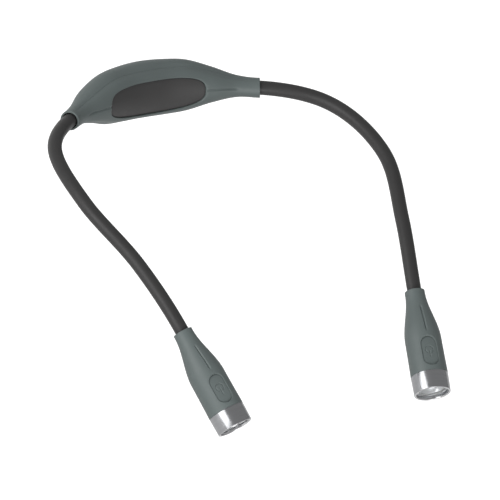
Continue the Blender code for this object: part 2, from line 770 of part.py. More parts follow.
class Route:
    """Centre line of the right arm, read by its length from the housing's mouth."""

    def __init__(self):
        mouth = Vector((HALF_SPAN, 0, 0))
        knots = [mouth]
        for out, forward, drop in ARM_ROUTE_SHARES:
            knots.append(Vector((HALF_SPAN + out * ARM_OUT, -forward * ARM_FORWARD, -drop * ARM_DROP)))
        knots.append(head_start())
        ways = [sleeve_way()]
        for before, here, after in zip(knots, knots[1:], knots[2:]):
            near = here - before
            far = after - here
            ways.append((near.normalized() * far.length + far.normalized() * near.length)
                        / (near.length + far.length))
        ways.append(head_way())
        self.points = [spine_at(mix(ARM_ROOT_SHARE, 1.0, step / ROOT_STEPS))[0]
                       for step in range(ROOT_STEPS)]
        inside = len(self.points)
        for i in range(len(knots) - 1):
            for step in range(ROUTE_STEPS):
                share = step / ROUTE_STEPS
                self.points.append(hermite(knots[i], ways[i], knots[i + 1], ways[i + 1], share))
        self.points.append(knots[-1])
        self.points.append(knots[-1] + head_way() * HEAD_CORE_END)
        marks = [0.0]
        for near, far in zip(self.points, self.points[1:]):
            marks.append(marks[-1] + (far - near).length)
        self.marks = [mark - marks[inside] for mark in marks]
        self.length = self.marks[-2]

    def at(self, mark):
        """Point and direction at a length along the route."""
        for i in range(len(self.points) - 1):
            if mark <= self.marks[i + 1] or i == len(self.points) - 2:
                share = (mark - self.marks[i]) / (self.marks[i + 1] - self.marks[i])
                break
        point = self.points[i].lerp(self.points[i + 1], share)
        here = (self.points[i + 1] - self.points[i]).normalized()
        if share < 0.5 and i > 0:
            other = (self.points[i] - self.points[i - 1]).normalized()
            here = here.lerp(other, 0.5 - share)
        if share >= 0.5 and i < len(self.points) - 2:
            other = (self.points[i + 2] - self.points[i + 1]).normalized()
            here = here.lerp(other, share - 0.5)
        return point, here.normalized()


def mirrored(vector, side):
    return Vector((side * vector.x, vector.y, vector.z))


def tube_rings(route, side, start, end, radius, sides):
    """Rings square to the route, all started from the same fixed direction."""
    steps = max(2, math.ceil((end - start) / RING_STEP))
    rings = []
    for i in range(steps + 1):
        point, way = route.at(mix(start, end, i / steps))
        point = mirrored(point, side)
        way = mirrored(way, side)
        across = way.cross(UP).normalized()
        rise = across.cross(way)
        turn = [math.tau * k / sides for k in range(sides)]
        rings.append([point + across * (radius * math.cos(a)) + rise * (radius * math.sin(a))
                      for a in turn])
    return rings


def sleeve_stretch(name, route, side, start, end, place):
    outer = tube_rings(route, side, start, end, ARM_RADIUS, ARM_SIDES)
    inner = tube_rings(route, side, start, end, ARM_RADIUS - ARM_WALL, ARM_SIDES)
    mesh = mesh_from(loft(bmesh.new(), outer + inner[::-1], closed=True), name)
    mesh.transform(place.matrix.inverted())
    return add_object(name, mesh, place, "arm_rubber")


def core_stretch(name, route, side, start, end, place):
    rings = tube_rings(route, side, start, end, CORE_RADIUS, CORE_SIDES)
    mesh = mesh_from(loft(bmesh.new(), rings), name)
    mesh.transform(place.matrix.inverted())
    return add_object(name, mesh, place, "steel")


def collar(name, route, side, middle, radius, place):
    """Crimped collar round the core at an end of the arm."""
    point, way = route.at(middle)
    matrix = frame(mirrored(point, side), mirrored(way, side), UP)
    half = COLLAR_LENGTH / 2
    outline = [(COLLAR_BORE, -half), (radius - EDGE_BREAK, -half), (radius, EDGE_BREAK - half),
               (radius, half - EDGE_BREAK), (radius - EDGE_BREAK, half), (COLLAR_BORE, half)]
    return add_object(name, mesh_from(turned(outline, SMALL_SIDES), name), place, "steel", matrix)


def build_arm(side, label, root, route):
    """Rigid stretches between four bends, each bend with a joint at its middle."""
    hinges = []
    parent = root
    names = ("shoulder", "elbow", "nod", "turn")
    for name, share in zip(names, BEND_PLACE_SHARES):
        point, way = route.at(share * route.length)
        point = mirrored(point, side)
        way = mirrored(way, side)
        lift = way.cross(UP).normalized()
        axis = {"shoulder": UP * side, "elbow": lift, "nod": lift}.get(name, lift.cross(way) * side)
        parent = Place(f"{label}_{name}_joint", frame(point, axis, way), parent)
        hinges.append(parent)

    middles = [share * route.length for share in BEND_PLACE_SHARES]
    half = BEND_LENGTH / 2
    gap = FIT_GAP / 2
    starts = [-SLEEVE_DEPTH] + [middle - half + gap for middle in middles[1:]]
    ends = [middle + half - gap for middle in middles[:-1]] + [route.length + SLEEVE_DEPTH]
    collar_start = -SLEEVE_DEPTH - FIT_GAP - COLLAR_LENGTH
    core_stretch(label + "_arm_core", route, side, collar_start - CORE_TAIL,
                 route.length + HEAD_CORE_END, root)
    holders = [root] + hinges[:-1]
    for i in range(len(middles)):
        sleeve_stretch(f"{label}_arm_bend_{i + 1}", route, side, starts[i], ends[i], holders[i])
    rigid = ("upper", "lower", "link")
    for i, name in enumerate(rigid):
        start = ends[i] + FIT_GAP
        end = starts[i + 1] - FIT_GAP
        sleeve_stretch(f"{label}_arm_{name}", route, side, start, end, hinges[i])

    middle = collar_start + COLLAR_LENGTH / 2
    collar(label + "_housing_collar", route, side, middle, ARM_RADIUS + FIT_GAP, root)
    return hinges[-1]


# Lamp heads


def head_radius(along):
    """Outer radius of the rubber shell, from its sleeve end."""
    swell = smooth((along - SHOULDER_START) / SHOULDER_LENGTH)
    flare = smooth((along - SHOULDER_START - SHOULDER_LENGTH) / SHELL_LENGTH) * BARREL_FLARE * 2
    return mix(SLEEVE_RADIUS, BARREL_DIAMETER / 2, swell) + flare


def shell_cavity(along):
    return head_radius(along) - HEAD_WALL


def stadium(length, width, steps=BUTTON_CORNER_STEPS):
    """Oblong with half-round ends as (along, across) points."""
    radius = width / 2
    straight = length / 2 - radius
    points = []
    for end, first in ((1, -math.pi / 2), (-1, math.pi / 2)):
        for i in range(steps + 1):
            angle = first + math.pi * i / steps
            points.append((end * straight + radius * math.cos(angle), radius * math.sin(angle)))
    return points


def button_frame(head):
    """Z out through the button, X along the head towards its mouth."""
    turn = Matrix(((0, 0, 1), (0, -1, 0), (1, 0, 0))).to_4x4()
    return head @ turn @ Matrix.Translation((BUTTON_CENTRE, 0, 0))


def build_shell(label, head):
    rings = [SHELL_LENGTH * i / SHELL_RINGS for i in range(SHELL_RINGS + 1)]
    outline = [(SLEEVE_BORE + EDGE_BREAK, 0), (SLEEVE_RADIUS - EDGE_BREAK, 0), (SLEEVE_RADIUS, EDGE_BREAK)]
    outline += [(head_radius(along), along) for along in rings[1:-1]]
    outline += [(head_radius(SHELL_LENGTH), SHELL_LENGTH - EDGE_BREAK),
                (head_radius(SHELL_LENGTH) - EDGE_BREAK, SHELL_LENGTH)]
    skirt_bore = SKIRT_RADIUS + FIT_GAP
    carrier_back = CARRIER_START - FIT_GAP
    skirt_back = SHELL_LENGTH - BEZEL_SKIRT_LENGTH - FIT_GAP
    outline += [(skirt_bore, SHELL_LENGTH), (skirt_bore, skirt_back)]
    for along in reversed([carrier_back] + cavity_marks()):
        outline.append((min(shell_cavity(along), skirt_bore), along))
    outline += [(SLEEVE_BORE, carrier_back), (SLEEVE_BORE, EDGE_BREAK)]
    name = label + "_head_shell"
    shell = add_object(name, mesh_from(turned(outline, HEAD_SIDES), name), head, "rubber")

    button = button_frame(head.matrix)
    low = head_radius(BUTTON_CENTRE) - BUTTON_WIDTH
    slot = prism(stadium(BUTTON_LENGTH + 2 * FIT_GAP, BUTTON_WIDTH + 2 * FIT_GAP), low,
                 BARREL_DIAMETER / 2 + CUT_OVERRUN)
    combine(shell, hidden_tool(label + "_button_slot", slot, head, button))

    places = [mix(HEAD_GROOVE_START, HEAD_GROOVE_END, i / GROOVE_STEPS) for i in range(GROOVE_STEPS + 1)]
    line = [Vector((head_radius(along), 0, along)) for along in places]
    inward = [Vector((-1, 0, 0))] * len(line)
    across = [Vector((0, 1, 0))] * len(line)
    combine(shell, groove_tool(label + "_head_groove_cutter", line, across, inward, head))


def cavity_marks():
    """Places along the head where the shell's cavity, and the barrel in it, change their width."""
    end = SHOULDER_START + SHOULDER_LENGTH
    return [mix(CARRIER_START, end, i / CAVITY_STEPS) for i in range(CAVITY_STEPS + 1)]


def carrier_outer(along):
    return min(shell_cavity(along) - FIT_GAP, SKIRT_RADIUS)


def carrier_inner(along):
    return min(carrier_outer(along), CARRIER_NECK) - CARRIER_WALL


def build_carrier(label, head):
    neck_start = CARRIER_END - CARRIER_NECK_LENGTH
    collar_hole = COLLAR_RADIUS + FIT_GAP
    marks = cavity_marks() + [neck_start]
    outline = [(collar_hole, CARRIER_START)]
    outline += [(carrier_outer(along), along) for along in marks]
    outline += [(CARRIER_NECK, neck_start), (CARRIER_NECK, CARRIER_END),
                (CARRIER_NECK - CARRIER_WALL, CARRIER_END)]
    back = CARRIER_START + CARRIER_WALL
    outline += [(carrier_inner(along), along) for along in reversed(marks[1:-1])]
    outline += [(carrier_inner(back), back), (collar_hole, back)]
    name = label + "_inner_barrel"
    carrier = add_object(name, mesh_from(turned(outline, INNER_SIDES), name), head, "black_plastic")

    button = button_frame(head.matrix)
    window = prism(stadium(BUTTON_LENGTH + 4 * FIT_GAP, BUTTON_WIDTH + 4 * FIT_GAP),
                   SWITCH_BOARD_TOP + FIT_GAP, BARREL_DIAMETER / 2 + CUT_OVERRUN)
    combine(carrier, hidden_tool(label + "_barrel_window", window, head, button))


def build_switch(label, head):
    half_width = math.sqrt((carrier_inner(BUTTON_CENTRE) - FIT_GAP) ** 2 - SWITCH_BOARD_TOP ** 2)
    button = button_frame(head.matrix)
    board = block((SWITCH_BOARD_LENGTH, 2 * half_width, SWITCH_BOARD_THICKNESS),
                  (0, 0, SWITCH_BOARD_TOP - SWITCH_BOARD_THICKNESS / 2))
    name = label + "_switch_board"
    add_object(name, mesh_from(board, name), head, "circuit_board", button)

    low = SWITCH_BOARD_TOP + FIT_GAP
    name = label + "_push_switch"
    body = block((SWITCH_WIDTH, SWITCH_WIDTH, SWITCH_HEIGHT), (0, 0, low + SWITCH_HEIGHT / 2))
    switch = add_object(name, mesh_from(body, name), head, "black_plastic", button)
    top = low + SWITCH_HEIGHT + PLUNGER_HEIGHT
    radius = PLUNGER_DIAMETER / 2
    stem = turned([(0, low + SWITCH_HEIGHT / 2), (radius, low + SWITCH_HEIGHT / 2),
                   (radius, top - EDGE_BREAK), (radius - EDGE_BREAK, top), (0, top)], SMALL_SIDES)
    combine(switch, hidden_tool(label + "_switch_plunger", stem, head, button), "UNION")
    return top


def build_button(label, head, plunger_top):
    """Oblong cap whose top follows the round head, a little sunk in the rubber."""
    slide = Place(label + "_button_slide", button_frame(head.matrix), head)
    bottom = plunger_top + FIT_GAP + BUTTON_TRAVEL

    def top(along, across):
        radius = head_radius(BUTTON_CENTRE + along) - BUTTON_RECESS
        return math.sqrt(radius * radius - across * across)

    rings = [[(x, y, bottom) for x, y in stadium(BUTTON_LENGTH, BUTTON_WIDTH)]]
    straight = BUTTON_LENGTH - BUTTON_WIDTH
    for share in BUTTON_CROWN_SHARES:
        width = BUTTON_WIDTH * share
        drop = EDGE_BREAK if share == 1.0 else 0.0
        rings.append([(x, y, top(x, y) - drop) for x, y in stadium(straight + width, width)])
    name = label + "_button"
    add_object(name, mesh_from(loft(bmesh.new(), rings), name), slide, "rubber")


def build_bezel(label, head):
    start = SHELL_LENGTH + FIT_GAP
    mouth = HEAD_LENGTH
    rear = BEZEL_REAR_DIAMETER / 2
    front = BEZEL_MOUTH_DIAMETER / 2
    lip_bore = front - LIP_WIDTH
    pocket = LENS_RADIUS + FIT_GAP
    skirt_bore = SKIRT_RADIUS - BEZEL_SKIRT_WALL
    skirt_end = SHELL_LENGTH - BEZEL_SKIRT_LENGTH
    shoulder = start + BEZEL_SHOULDER
    outline = [
        (SKIRT_RADIUS, start), (rear - EDGE_BREAK, start), (rear, start + EDGE_BREAK),
        (front, mouth - EDGE_BREAK), (front - EDGE_BREAK, mouth), (lip_bore + LIP_SLOPE, mouth),
        (lip_bore, mouth - LIP_SLOPE), (lip_bore, mouth - LIP_HEIGHT), (pocket, mouth - LIP_HEIGHT),
        (pocket, shoulder), (skirt_bore, shoulder), (skirt_bore, skirt_end), (SKIRT_RADIUS, skirt_end),
    ]
    name = label + "_bezel"
    add_object(name, mesh_from(turned(outline, HEAD_SIDES), name), head, "aluminium")

    lens_top = mouth - LIP_HEIGHT - FIT_GAP
    lens_low = lens_top - LENS_THICKNESS
    name = label + "_lens"
    outline = [(0, lens_low), (LENS_RADIUS, lens_low), (LENS_RADIUS, lens_top - EDGE_BREAK),
               (LENS_RADIUS - EDGE_BREAK, lens_top), (0, lens_top)]
    add_object(name, mesh_from(turned(outline, HEAD_SIDES), name), head, "lens")

    seal_top = lens_low - FIT_GAP
    seal_low = seal_top - SEAL_HEIGHT
    name = label + "_lens_seal"
    seal_bore = LENS_RADIUS - SEAL_WIDTH
    outline = [(seal_bore, seal_low), (LENS_RADIUS, seal_low), (LENS_RADIUS, seal_top), (seal_bore, seal_top)]
    add_object(name, mesh_from(turned(outline, INNER_SIDES), name), head, "seal")
    return seal_low - FIT_GAP


def build_light(label, head, flange_top):
    """Round LED board on the barrel's end, the LED on it, and the reflector up to the seal."""
    board_low = CARRIER_END + FIT_GAP
    board_top = board_low + LED_BOARD_THICKNESS
    name = label + "_led_board"
    board = round_bar(CARRIER_NECK, board_low, board_top, INNER_SIDES)
    add_object(name, mesh_from(board, name), head, "circuit_board")

    led_low = board_top + FIT_GAP
    name = label + "_led"
    base = block((LED_WIDTH, LED_WIDTH, LED_BASE_HEIGHT), (0, 0, led_low + LED_BASE_HEIGHT / 2))
    led = add_object(name, mesh_from(base, name), head, "led")
    dome = LED_DOME_DIAMETER / 2
    middle = led_low + LED_BASE_HEIGHT / 2
    outline = [(0, middle), (dome, middle)]
    for i in range(LED_DOME_STEPS):
        angle = math.pi / 2 * i / LED_DOME_STEPS
        outline.append((dome * math.cos(angle), led_low + LED_BASE_HEIGHT + dome * math.sin(angle)))
    outline.append((0, led_low + LED_BASE_HEIGHT + dome))
    combine(led, hidden_tool(label + "_led_dome", turned(outline, SMALL_SIDES), head), "UNION")

    low = led_low + LED_BASE_HEIGHT + FIT_GAP
    throat = REFLECTOR_THROAT_DIAMETER / 2
    wide = LENS_RADIUS - SEAL_WIDTH - FIT_GAP
    bowl = []
    for i in range(REFLECTOR_STEPS + 1):
        share = i / REFLECTOR_STEPS
        bowl.append((math.sqrt(mix(throat ** 2, wide ** 2, share)), mix(low, flange_top, share)))
    flange_low = flange_top - REFLECTOR_FLANGE
    outline = bowl + [(LENS_RADIUS, flange_top), (LENS_RADIUS, flange_low)]
    outline += [(r + REFLECTOR_WALL, along) for r, along in reversed(bowl[:-1]) if along < flange_low]
    name = label + "_reflector"
    add_object(name, mesh_from(turned(outline, INNER_SIDES), name), head, "mirror")


def build_head(side, label, parent, route):
    start = mirrored(head_start(), side)
    way = mirrored(head_way(), side)
    head = Place(label + "_head", frame(start, way, BUTTON_AIM), parent)
    build_shell(label, head)
    build_carrier(label, head)
    plunger_top = build_switch(label, head)
    build_button(label, head, plunger_top)
    flange_top = build_bezel(label, head)
    build_light(label, head, flange_top)
    collar(label + "_head_collar", route, side, route.length + HEAD_COLLAR_MIDDLE, COLLAR_RADIUS, head)


# Standing on a table


def world_points(pieces):
    """Corners of the pieces as they stand, after their modifiers."""
    depsgraph = bpy.context.evaluated_depsgraph_get()
    points = []
    for piece in pieces:
        shown = piece.evaluated_get(depsgraph)
        mesh = shown.to_mesh()
        points += [shown.matrix_world @ corner.co for corner in mesh.vertices]
        shown.to_mesh_clear()
    return points


def stand_on_table(root):
    """Tip the light back until its bezels and the housing touch one level plane, and centre it there."""
    bpy.context.view_layer.update()
    pieces = [piece for piece in bpy.data.objects if piece.type != "EMPTY" and not piece.hide_render]
    points = world_points(pieces)
    front = [p for p in points if p.y < -ARM_FORWARD]
    rear = [p for p in points if p.y >= -SLEEVE_DIAMETER]
    low, high = 0.0, math.pi / 2
    for _ in range(50):
        pitch = (low + high) / 2
        turn = Matrix.Rotation(-pitch, 3, "X")
        if min((turn @ p).z for p in front) < min((turn @ p).z for p in rear):
            low = pitch
        else:
            high = pitch
    turn = Matrix.Rotation(-pitch, 3, "X")
    stood = [turn @ p for p in points]
    middle_y = (min(p.y for p in stood) + max(p.y for p in stood)) / 2
    root.empty.rotation_euler = (-pitch, 0, 0)
    root.empty.location = (0, -middle_y, -min(p.z for p in stood))
    bpy.context.view_layer.update()


def build():
    for old in list(bpy.data.objects):
        bpy.data.objects.remove(old, do_unlink=True)
    root = Place("worn_layout", Matrix.Identity(4))
    build_covers(root)
    build_door(root)
    build_bay(root)
    route = Route()
    for side, label in SIDES:
        wrist = build_arm(side, label, root, route)
        build_head(side, label, wrist, route)
    stand_on_table(root)


build()
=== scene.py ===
"""Looks of the neck reading light: smooth rubber, charcoal arms and turned aluminium bezels.

Sizes are in metres. Shapes are laid out as the light is worn, with the mouths of the housing's two
sleeves on the X axis, +Y to the back and +Z up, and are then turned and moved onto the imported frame.
"""

import bisect
import itertools
import json
import math

import bmesh
import bpy
from mathutils import Matrix, Vector


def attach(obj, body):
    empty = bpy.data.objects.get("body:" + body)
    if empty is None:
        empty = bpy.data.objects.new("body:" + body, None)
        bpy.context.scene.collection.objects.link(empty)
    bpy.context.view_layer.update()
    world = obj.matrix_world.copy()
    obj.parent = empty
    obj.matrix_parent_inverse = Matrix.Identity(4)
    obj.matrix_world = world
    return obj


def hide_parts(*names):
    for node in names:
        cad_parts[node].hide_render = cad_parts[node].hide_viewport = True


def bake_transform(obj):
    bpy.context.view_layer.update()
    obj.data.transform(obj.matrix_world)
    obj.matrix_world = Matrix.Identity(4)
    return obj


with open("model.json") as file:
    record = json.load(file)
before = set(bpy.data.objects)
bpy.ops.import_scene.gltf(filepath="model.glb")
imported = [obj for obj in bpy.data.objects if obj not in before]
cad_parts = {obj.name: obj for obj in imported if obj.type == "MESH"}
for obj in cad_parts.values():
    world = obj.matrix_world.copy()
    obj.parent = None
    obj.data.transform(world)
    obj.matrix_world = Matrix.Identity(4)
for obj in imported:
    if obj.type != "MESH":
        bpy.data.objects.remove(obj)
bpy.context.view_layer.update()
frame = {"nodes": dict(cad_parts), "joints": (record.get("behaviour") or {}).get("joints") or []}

# Fits and edges
FIT_GAP = 0.0003
MERGE_DISTANCE = 0.000002
SOFT_EDGE = 0.0003
SEAM_EDGE = 0.00012
SEAM_GAP = 0.00004
FILLET_STEPS = 5
SEAM_STEPS = 3
EDGE_STEPS = 4
SHARP_ANGLE = math.radians(38.0)

# Housing form
SLEEVE_SPAN = 0.1278
SPINE_BACK = 0.0234
SPINE_EASE = 0.022
SLEEVE_EASE = 0.0211
SLEEVE_YAW = math.radians(34.0)
SLEEVE_PITCH = math.radians(-3.6)
HOUSING_HEIGHT = 0.0328
HOUSING_DEPTH = 0.0266
HOUSING_RISE = 0.0031
SECTION_TILT = math.radians(10.4)
HEIGHT_SHARES = (1.0, 0.963, 0.833, 0.434, 0.065, 0.0)
DEPTH_SHARES = (1.0, 0.935, 0.835, 0.6, 0.127, 0.0)
RISE_SHARES = (1.0, 0.97, 0.95, 0.79, 0.36, 0.0)
SECTION_POWER = 0.92
COVER_WALL = 0.002
WALL_TAPER_SHARE = 0.6
PARTING_ANGLE = math.radians(114.0)
VALLEY_DEPTH = 0.0011
VALLEY_ANGLE = math.radians(13.0)
VALLEY_END_SHARE = 0.3
VALLEY_FADE_SHARES = (0.85, 0.97)
HOUSING_COLUMNS = 132
REAR_ROWS = 72
INNER_ROWS = 20
SEARCH_STEP = 0.0001
SEARCH_ROUNDS = 6

# Grooves
GROOVE_WIDTH = 0.0014
GROOVE_DEPTH = 0.00065
GROOVE_RUNOUT = 0.0009
HOUSING_GROOVE_SHARES = (0.44, 0.8)
HEAD_GROOVE = (0.0112, 0.0266)

# Battery door
DOOR_LENGTH = 0.0628
DOOR_TOP = 0.0094
DOOR_BOTTOM = 0.0099
DOOR_TOP_POWER = 4.3
DOOR_BOTTOM_POWER = 2.2
DOOR_SINK = 0.0009
DOOR_THICKNESS = 0.0016
POCKET_EDGE = 0.0006
POCKET_STEPS = 5
POCKET_RINGS = 26
POCKET_SIDE_RAYS = 96
POCKET_END_RAYS = 44
POCKET_INNER_RINGS = 10
RIM_EDGE_POWER = 8
DOOR_RAYS = 160
DOOR_UNDER_SHARES = (0.02, 0.4, 0.8)
DOOR_FACE_SHARES = (0.97, 0.02)
DOOR_FACE_RINGS = 20

# Arms
ARM_DIAMETER = 0.008
ARM_WALL = 0.0022
CORE_DIAMETER = 0.0028
ARM_OUT = 0.0362
ARM_FORWARD = 0.1309
ARM_DROP = 0.0906
ARM_ROUTE_SHARES = ((0.725, 0.181, 0.067), (1.0, 0.518, 0.302), (0.68, 0.79, 0.625))
HEAD_OUT_SHARE = 0.387
ARM_ROOT_SHARE = 0.7
BEND_PLACE_SHARES = (0.078, 0.48, 0.765, 0.92)
BEND_REACHES = (0.0115, 0.024, 0.0125, 0.0115)
ROUTE_STEPS = 24
ROOT_STEPS = 8
ARM_SIDES = 40
CORE_SIDES = 13
ARM_RING_STEP = 0.0015
CORE_TAIL = 0.0024
COLLAR_LENGTH = 0.005

# Lamp heads, measured along the head from its sleeve end
SLEEVE_DIAMETER = 0.0112
SLEEVE_DEPTH = 0.0105
SLEEVE_CLEARANCE = 0.0006
SHELL_LENGTH = 0.0507
HEAD_LENGTH = 0.0613
SHOULDER_START = 0.0015
SHOULDER_LENGTH = 0.028
BARREL_DIAMETER = 0.0204
BARREL_FLARE = 0.00035
HEAD_WALL = 0.0014
HEAD_YAW_IN = math.radians(18.6)
HEAD_DIP = math.radians(53.3)
BUTTON_AIM = Vector((-0.259, -0.803, 0.555))
CARRIER_START = 0.015
CARRIER_WALL = 0.0012
HEAD_SIDES = 128
SHELL_RINGS = 40
SHELL_END_RAYS = 116
SHELL_SIDE_RAYS = 30
RAY_CROWDING = 0.65

# Push button and its power symbol
BUTTON_CENTRE = 0.0392
BUTTON_LENGTH = 0.017
BUTTON_WIDTH = 0.0083
BUTTON_RECESS = 0.0005
BUTTON_BOTTOM = 0.0079
BUTTON_GAP = 0.0001
BUTTON_ROUNDNESS = 0.35
SLOT_EDGE = 0.0006
SLOT_STEPS = 6
SYMBOL_DIAMETER = 0.0044
SYMBOL_STROKE = 0.0005
SYMBOL_DEPTH = 0.00025
SYMBOL_SOFTNESS = 0.00014
SYMBOL_OPENING = math.radians(33.0)
SYMBOL_CENTRE = -0.0008
SYMBOL_BAR = (0.0005, 0.0042)
SYMBOL_PATCH = (0.0045, 0.0031)
PATCH_RINGS = 44
BUTTON_RINGS = 10
BUTTON_SIDE_RAYS = 48

# Bezel, lens, reflector and light
BEZEL_REAR_DIAMETER = 0.0209
BEZEL_MOUTH_DIAMETER = 0.0205
BEZEL_SKIRT_DIAMETER = 0.0176
BEZEL_SKIRT_WALL = 0.0007
BEZEL_SKIRT_LENGTH = 0.0022
BEZEL_SHOULDER = 0.0012
LIP_WIDTH = 0.0013
LIP_HEIGHT = 0.0013
LIP_FLARE_ANGLE = math.radians(10.0)
LENS_DIAMETER = 0.0186
LENS_THICKNESS = 0.0015
SEAL_HEIGHT = 0.0008
SEAL_WIDTH = 0.0009
REFLECTOR_FLANGE = 0.0008
REFLECTOR_WALL = 0.0008
REFLECTOR_THROAT_DIAMETER = 0.0046
REFLECTOR_STEPS = 18
REFLECTOR_STEP_POWER = 3
REFLECTOR_FULLNESS = 0.3
LED_BOARD_TOP = 0.0505
LED_WIDTH = 0.003
LED_BASE_HEIGHT = 0.0006
LED_DOME_DIAMETER = 0.0024
LED_DOME_STEPS = 8
LED_SIDES = 64

# View, fitted to the photograph; pixel places are in its 500 x 500 frame
IMAGE_SIZE = 500
PIXELS_PER_METRE = 1806.0
ORIGIN_PIXEL = (164.77, 104.21)
VIEW_AZIMUTH = math.radians(-34.45)
VIEW_ELEVATION = math.radians(14.64)
CAMERA_DISTANCE = 1.2

# Studio; each softbox has its place from the view's target, size, power and whether reflections show it
FLOOR_SIZE = 6.0
FLOOR_DROP = 0.1
FLOOR_GREY = (0.5, 0.5, 0.5, 1)
FLOOR_GLOW = 0.8
WHITE = (1.0, 1.0, 1.0, 1)
SKY_ABOVE = 0.42
SKY_BELOW = 0.06
HORIZON_BLUR = 0.1
SOFTBOXES = (("side_softbox", (-1.3, 0.1, 0.55), (1.4, 1.0), 16.0, True),
             ("front_softbox", (-0.4, -1.2, 0.25), (0.7, 0.7), 10.5, True),
             ("rear_softbox", (0.0, 1.2, 0.6), (0.7, 0.7), 5.0, False))

# Shader patterns: scales as shares of a group's own scale, weights, and limits of the noise
COARSE_SCALE = 0.23
COARSE_WEIGHT = 0.7
PIT_SCALE = 0.6
PIT_REACH = 0.35
SPECK_SCALE = 0.8
CLOUD_WEIGHT = 0.6
HANDLING_LIMITS = (0.3, 0.7)
HANDLING_SCALE = 90.0
POLISH_SCALE = 220.0
LATHE_TURN_SCALE = 5.0
STREAK_SCALES = (0.4, 0.12)

# Sizes that follow from the others
HALF_SPAN = SLEEVE_SPAN / 2
HOUSING_GROOVE = [share * HALF_SPAN for share in HOUSING_GROOVE_SHARES]
SLEEVE_RADIUS = SLEEVE_DIAMETER / 2
ARM_RADIUS = ARM_DIAMETER / 2
SLEEVE_BORE = ARM_RADIUS + SLEEVE_CLEARANCE
CARRIER_BACK = CARRIER_START - FIT_GAP
SKIRT_RADIUS = BEZEL_SKIRT_DIAMETER / 2
LENS_RADIUS = LENS_DIAMETER / 2
LENS_TOP = HEAD_LENGTH - LIP_HEIGHT - FIT_GAP
SQUEEZE = 0.8 * FIT_GAP
LIP_FLARE = LIP_HEIGHT * math.tan(LIP_FLARE_ANGLE)
FLANGE_TOP = LENS_TOP - LENS_THICKNESS - 2 * FIT_GAP - SEAL_HEIGHT
LED_LOW = LED_BOARD_TOP + FIT_GAP
SIDES = ((-1, "left"), (1, "right"))
UP = Vector((0, 0, 1))


def mix(a, b, share):
    return a + (b - a) * share


def smooth(share):
    """Ease from 0 to 1 with level ends."""
    share = min(max(share, 0.0), 1.0)
    return share * share * (3 - 2 * share)


def hermite(start, start_slope, end, end_slope, u):
    """Curve between two numbers or vectors with the given slopes, at a share u of the way."""
    ease = smooth(u)
    return start * (1 - ease) + end * ease + start_slope * (u * (1 - u) ** 2) - end_slope * (u * u * (1 - u))


def read_shares(shares, place):
    """Smooth curve through evenly spaced shares, level at both ends."""
    last = len(shares) - 1
    at = min(max(place, 0.0), 1.0) * last
    i = min(int(at), last - 1)
    slope_a = (shares[i + 1] - shares[i - 1]) / 2 if i > 0 else 0.0
    slope_b = (shares[i + 2] - shares[i]) / 2 if i + 1 < last else 0.0
    return hermite(shares[i], slope_a, shares[i + 1], slope_b, at - i)


def signed_power(value, power):
    return math.copysign(abs(value) ** power, value)


def spread(count, crowding=0.0):
    """Values from -1 to 1, closer together in the middle where crowding is above 0."""
    values = [2 * i / count - 1 for i in range(count + 1)]
    return [u * (1 - crowding) + crowding * u ** 3 for u in values]


def even_steps(count):
    """Shares in even steps, from the first above 0 to 1."""
    return [k / count for k in range(1, count + 1)]


def full_turn(count):
    return [math.tau * k / count for k in range(count)]


def round_over(edge, steps):
    """Pull back from a border and drop below the face, along a quarter round that starts on the face."""
    turns = [math.pi / 2 * i / steps for i in range(steps + 1)]
    return [(edge * (1 - math.sin(turn)), edge * (1 - math.cos(turn))) for turn in turns]


def on_round(radius, turn, along):
    return Vector((radius * math.cos(turn), radius * math.sin(turn), along))


def quarter_rays(*sides):
    """Rays (side, u) round a four-sided outline, with each side's count of rays and their crowding given."""
    return [(side, u) for side, (count, crowding) in enumerate(sides) for u in spread(count, crowding)[:-1]]


def on_square(side, u):
    """Where a ray meets the border of a square from -1 to 1."""
    return ((1, u), (-u, 1), (-1, -u), (u, -1))[side]


def rings_between(near_marks, far_marks, steps, point):
    """Rings of point(a, b), at steps of the way from the near marks (a, b) to the far ones."""
    return [[point(mix(near[0], far[0], step), mix(near[1], far[1], step))
             for near, far in zip(near_marks, far_marks)] for step in steps]


def axes_at(origin, z_axis, x_hint):
    """Matrix with its origin and Z axis given, and X as near to x_hint as it can be."""
    z = z_axis.normalized()
    x = (x_hint - z * x_hint.dot(z)).normalized()
    return Matrix.Translation(origin) @ Matrix((x, z.cross(x), z)).transposed().to_4x4()


def direction(turn, rise):
    """Unit vector to the front, turned to the right and then raised by two angles."""
    return Vector((math.cos(rise) * math.sin(turn), -math.cos(rise) * math.cos(turn), math.sin(rise)))


def mirrored(vector, side):
    return Vector((side * vector.x, vector.y, vector.z))


def new_object(name, data):
    made = bpy.data.objects.new(name, data)
    bpy.context.collection.objects.link(made)
    return made


# Mesh work


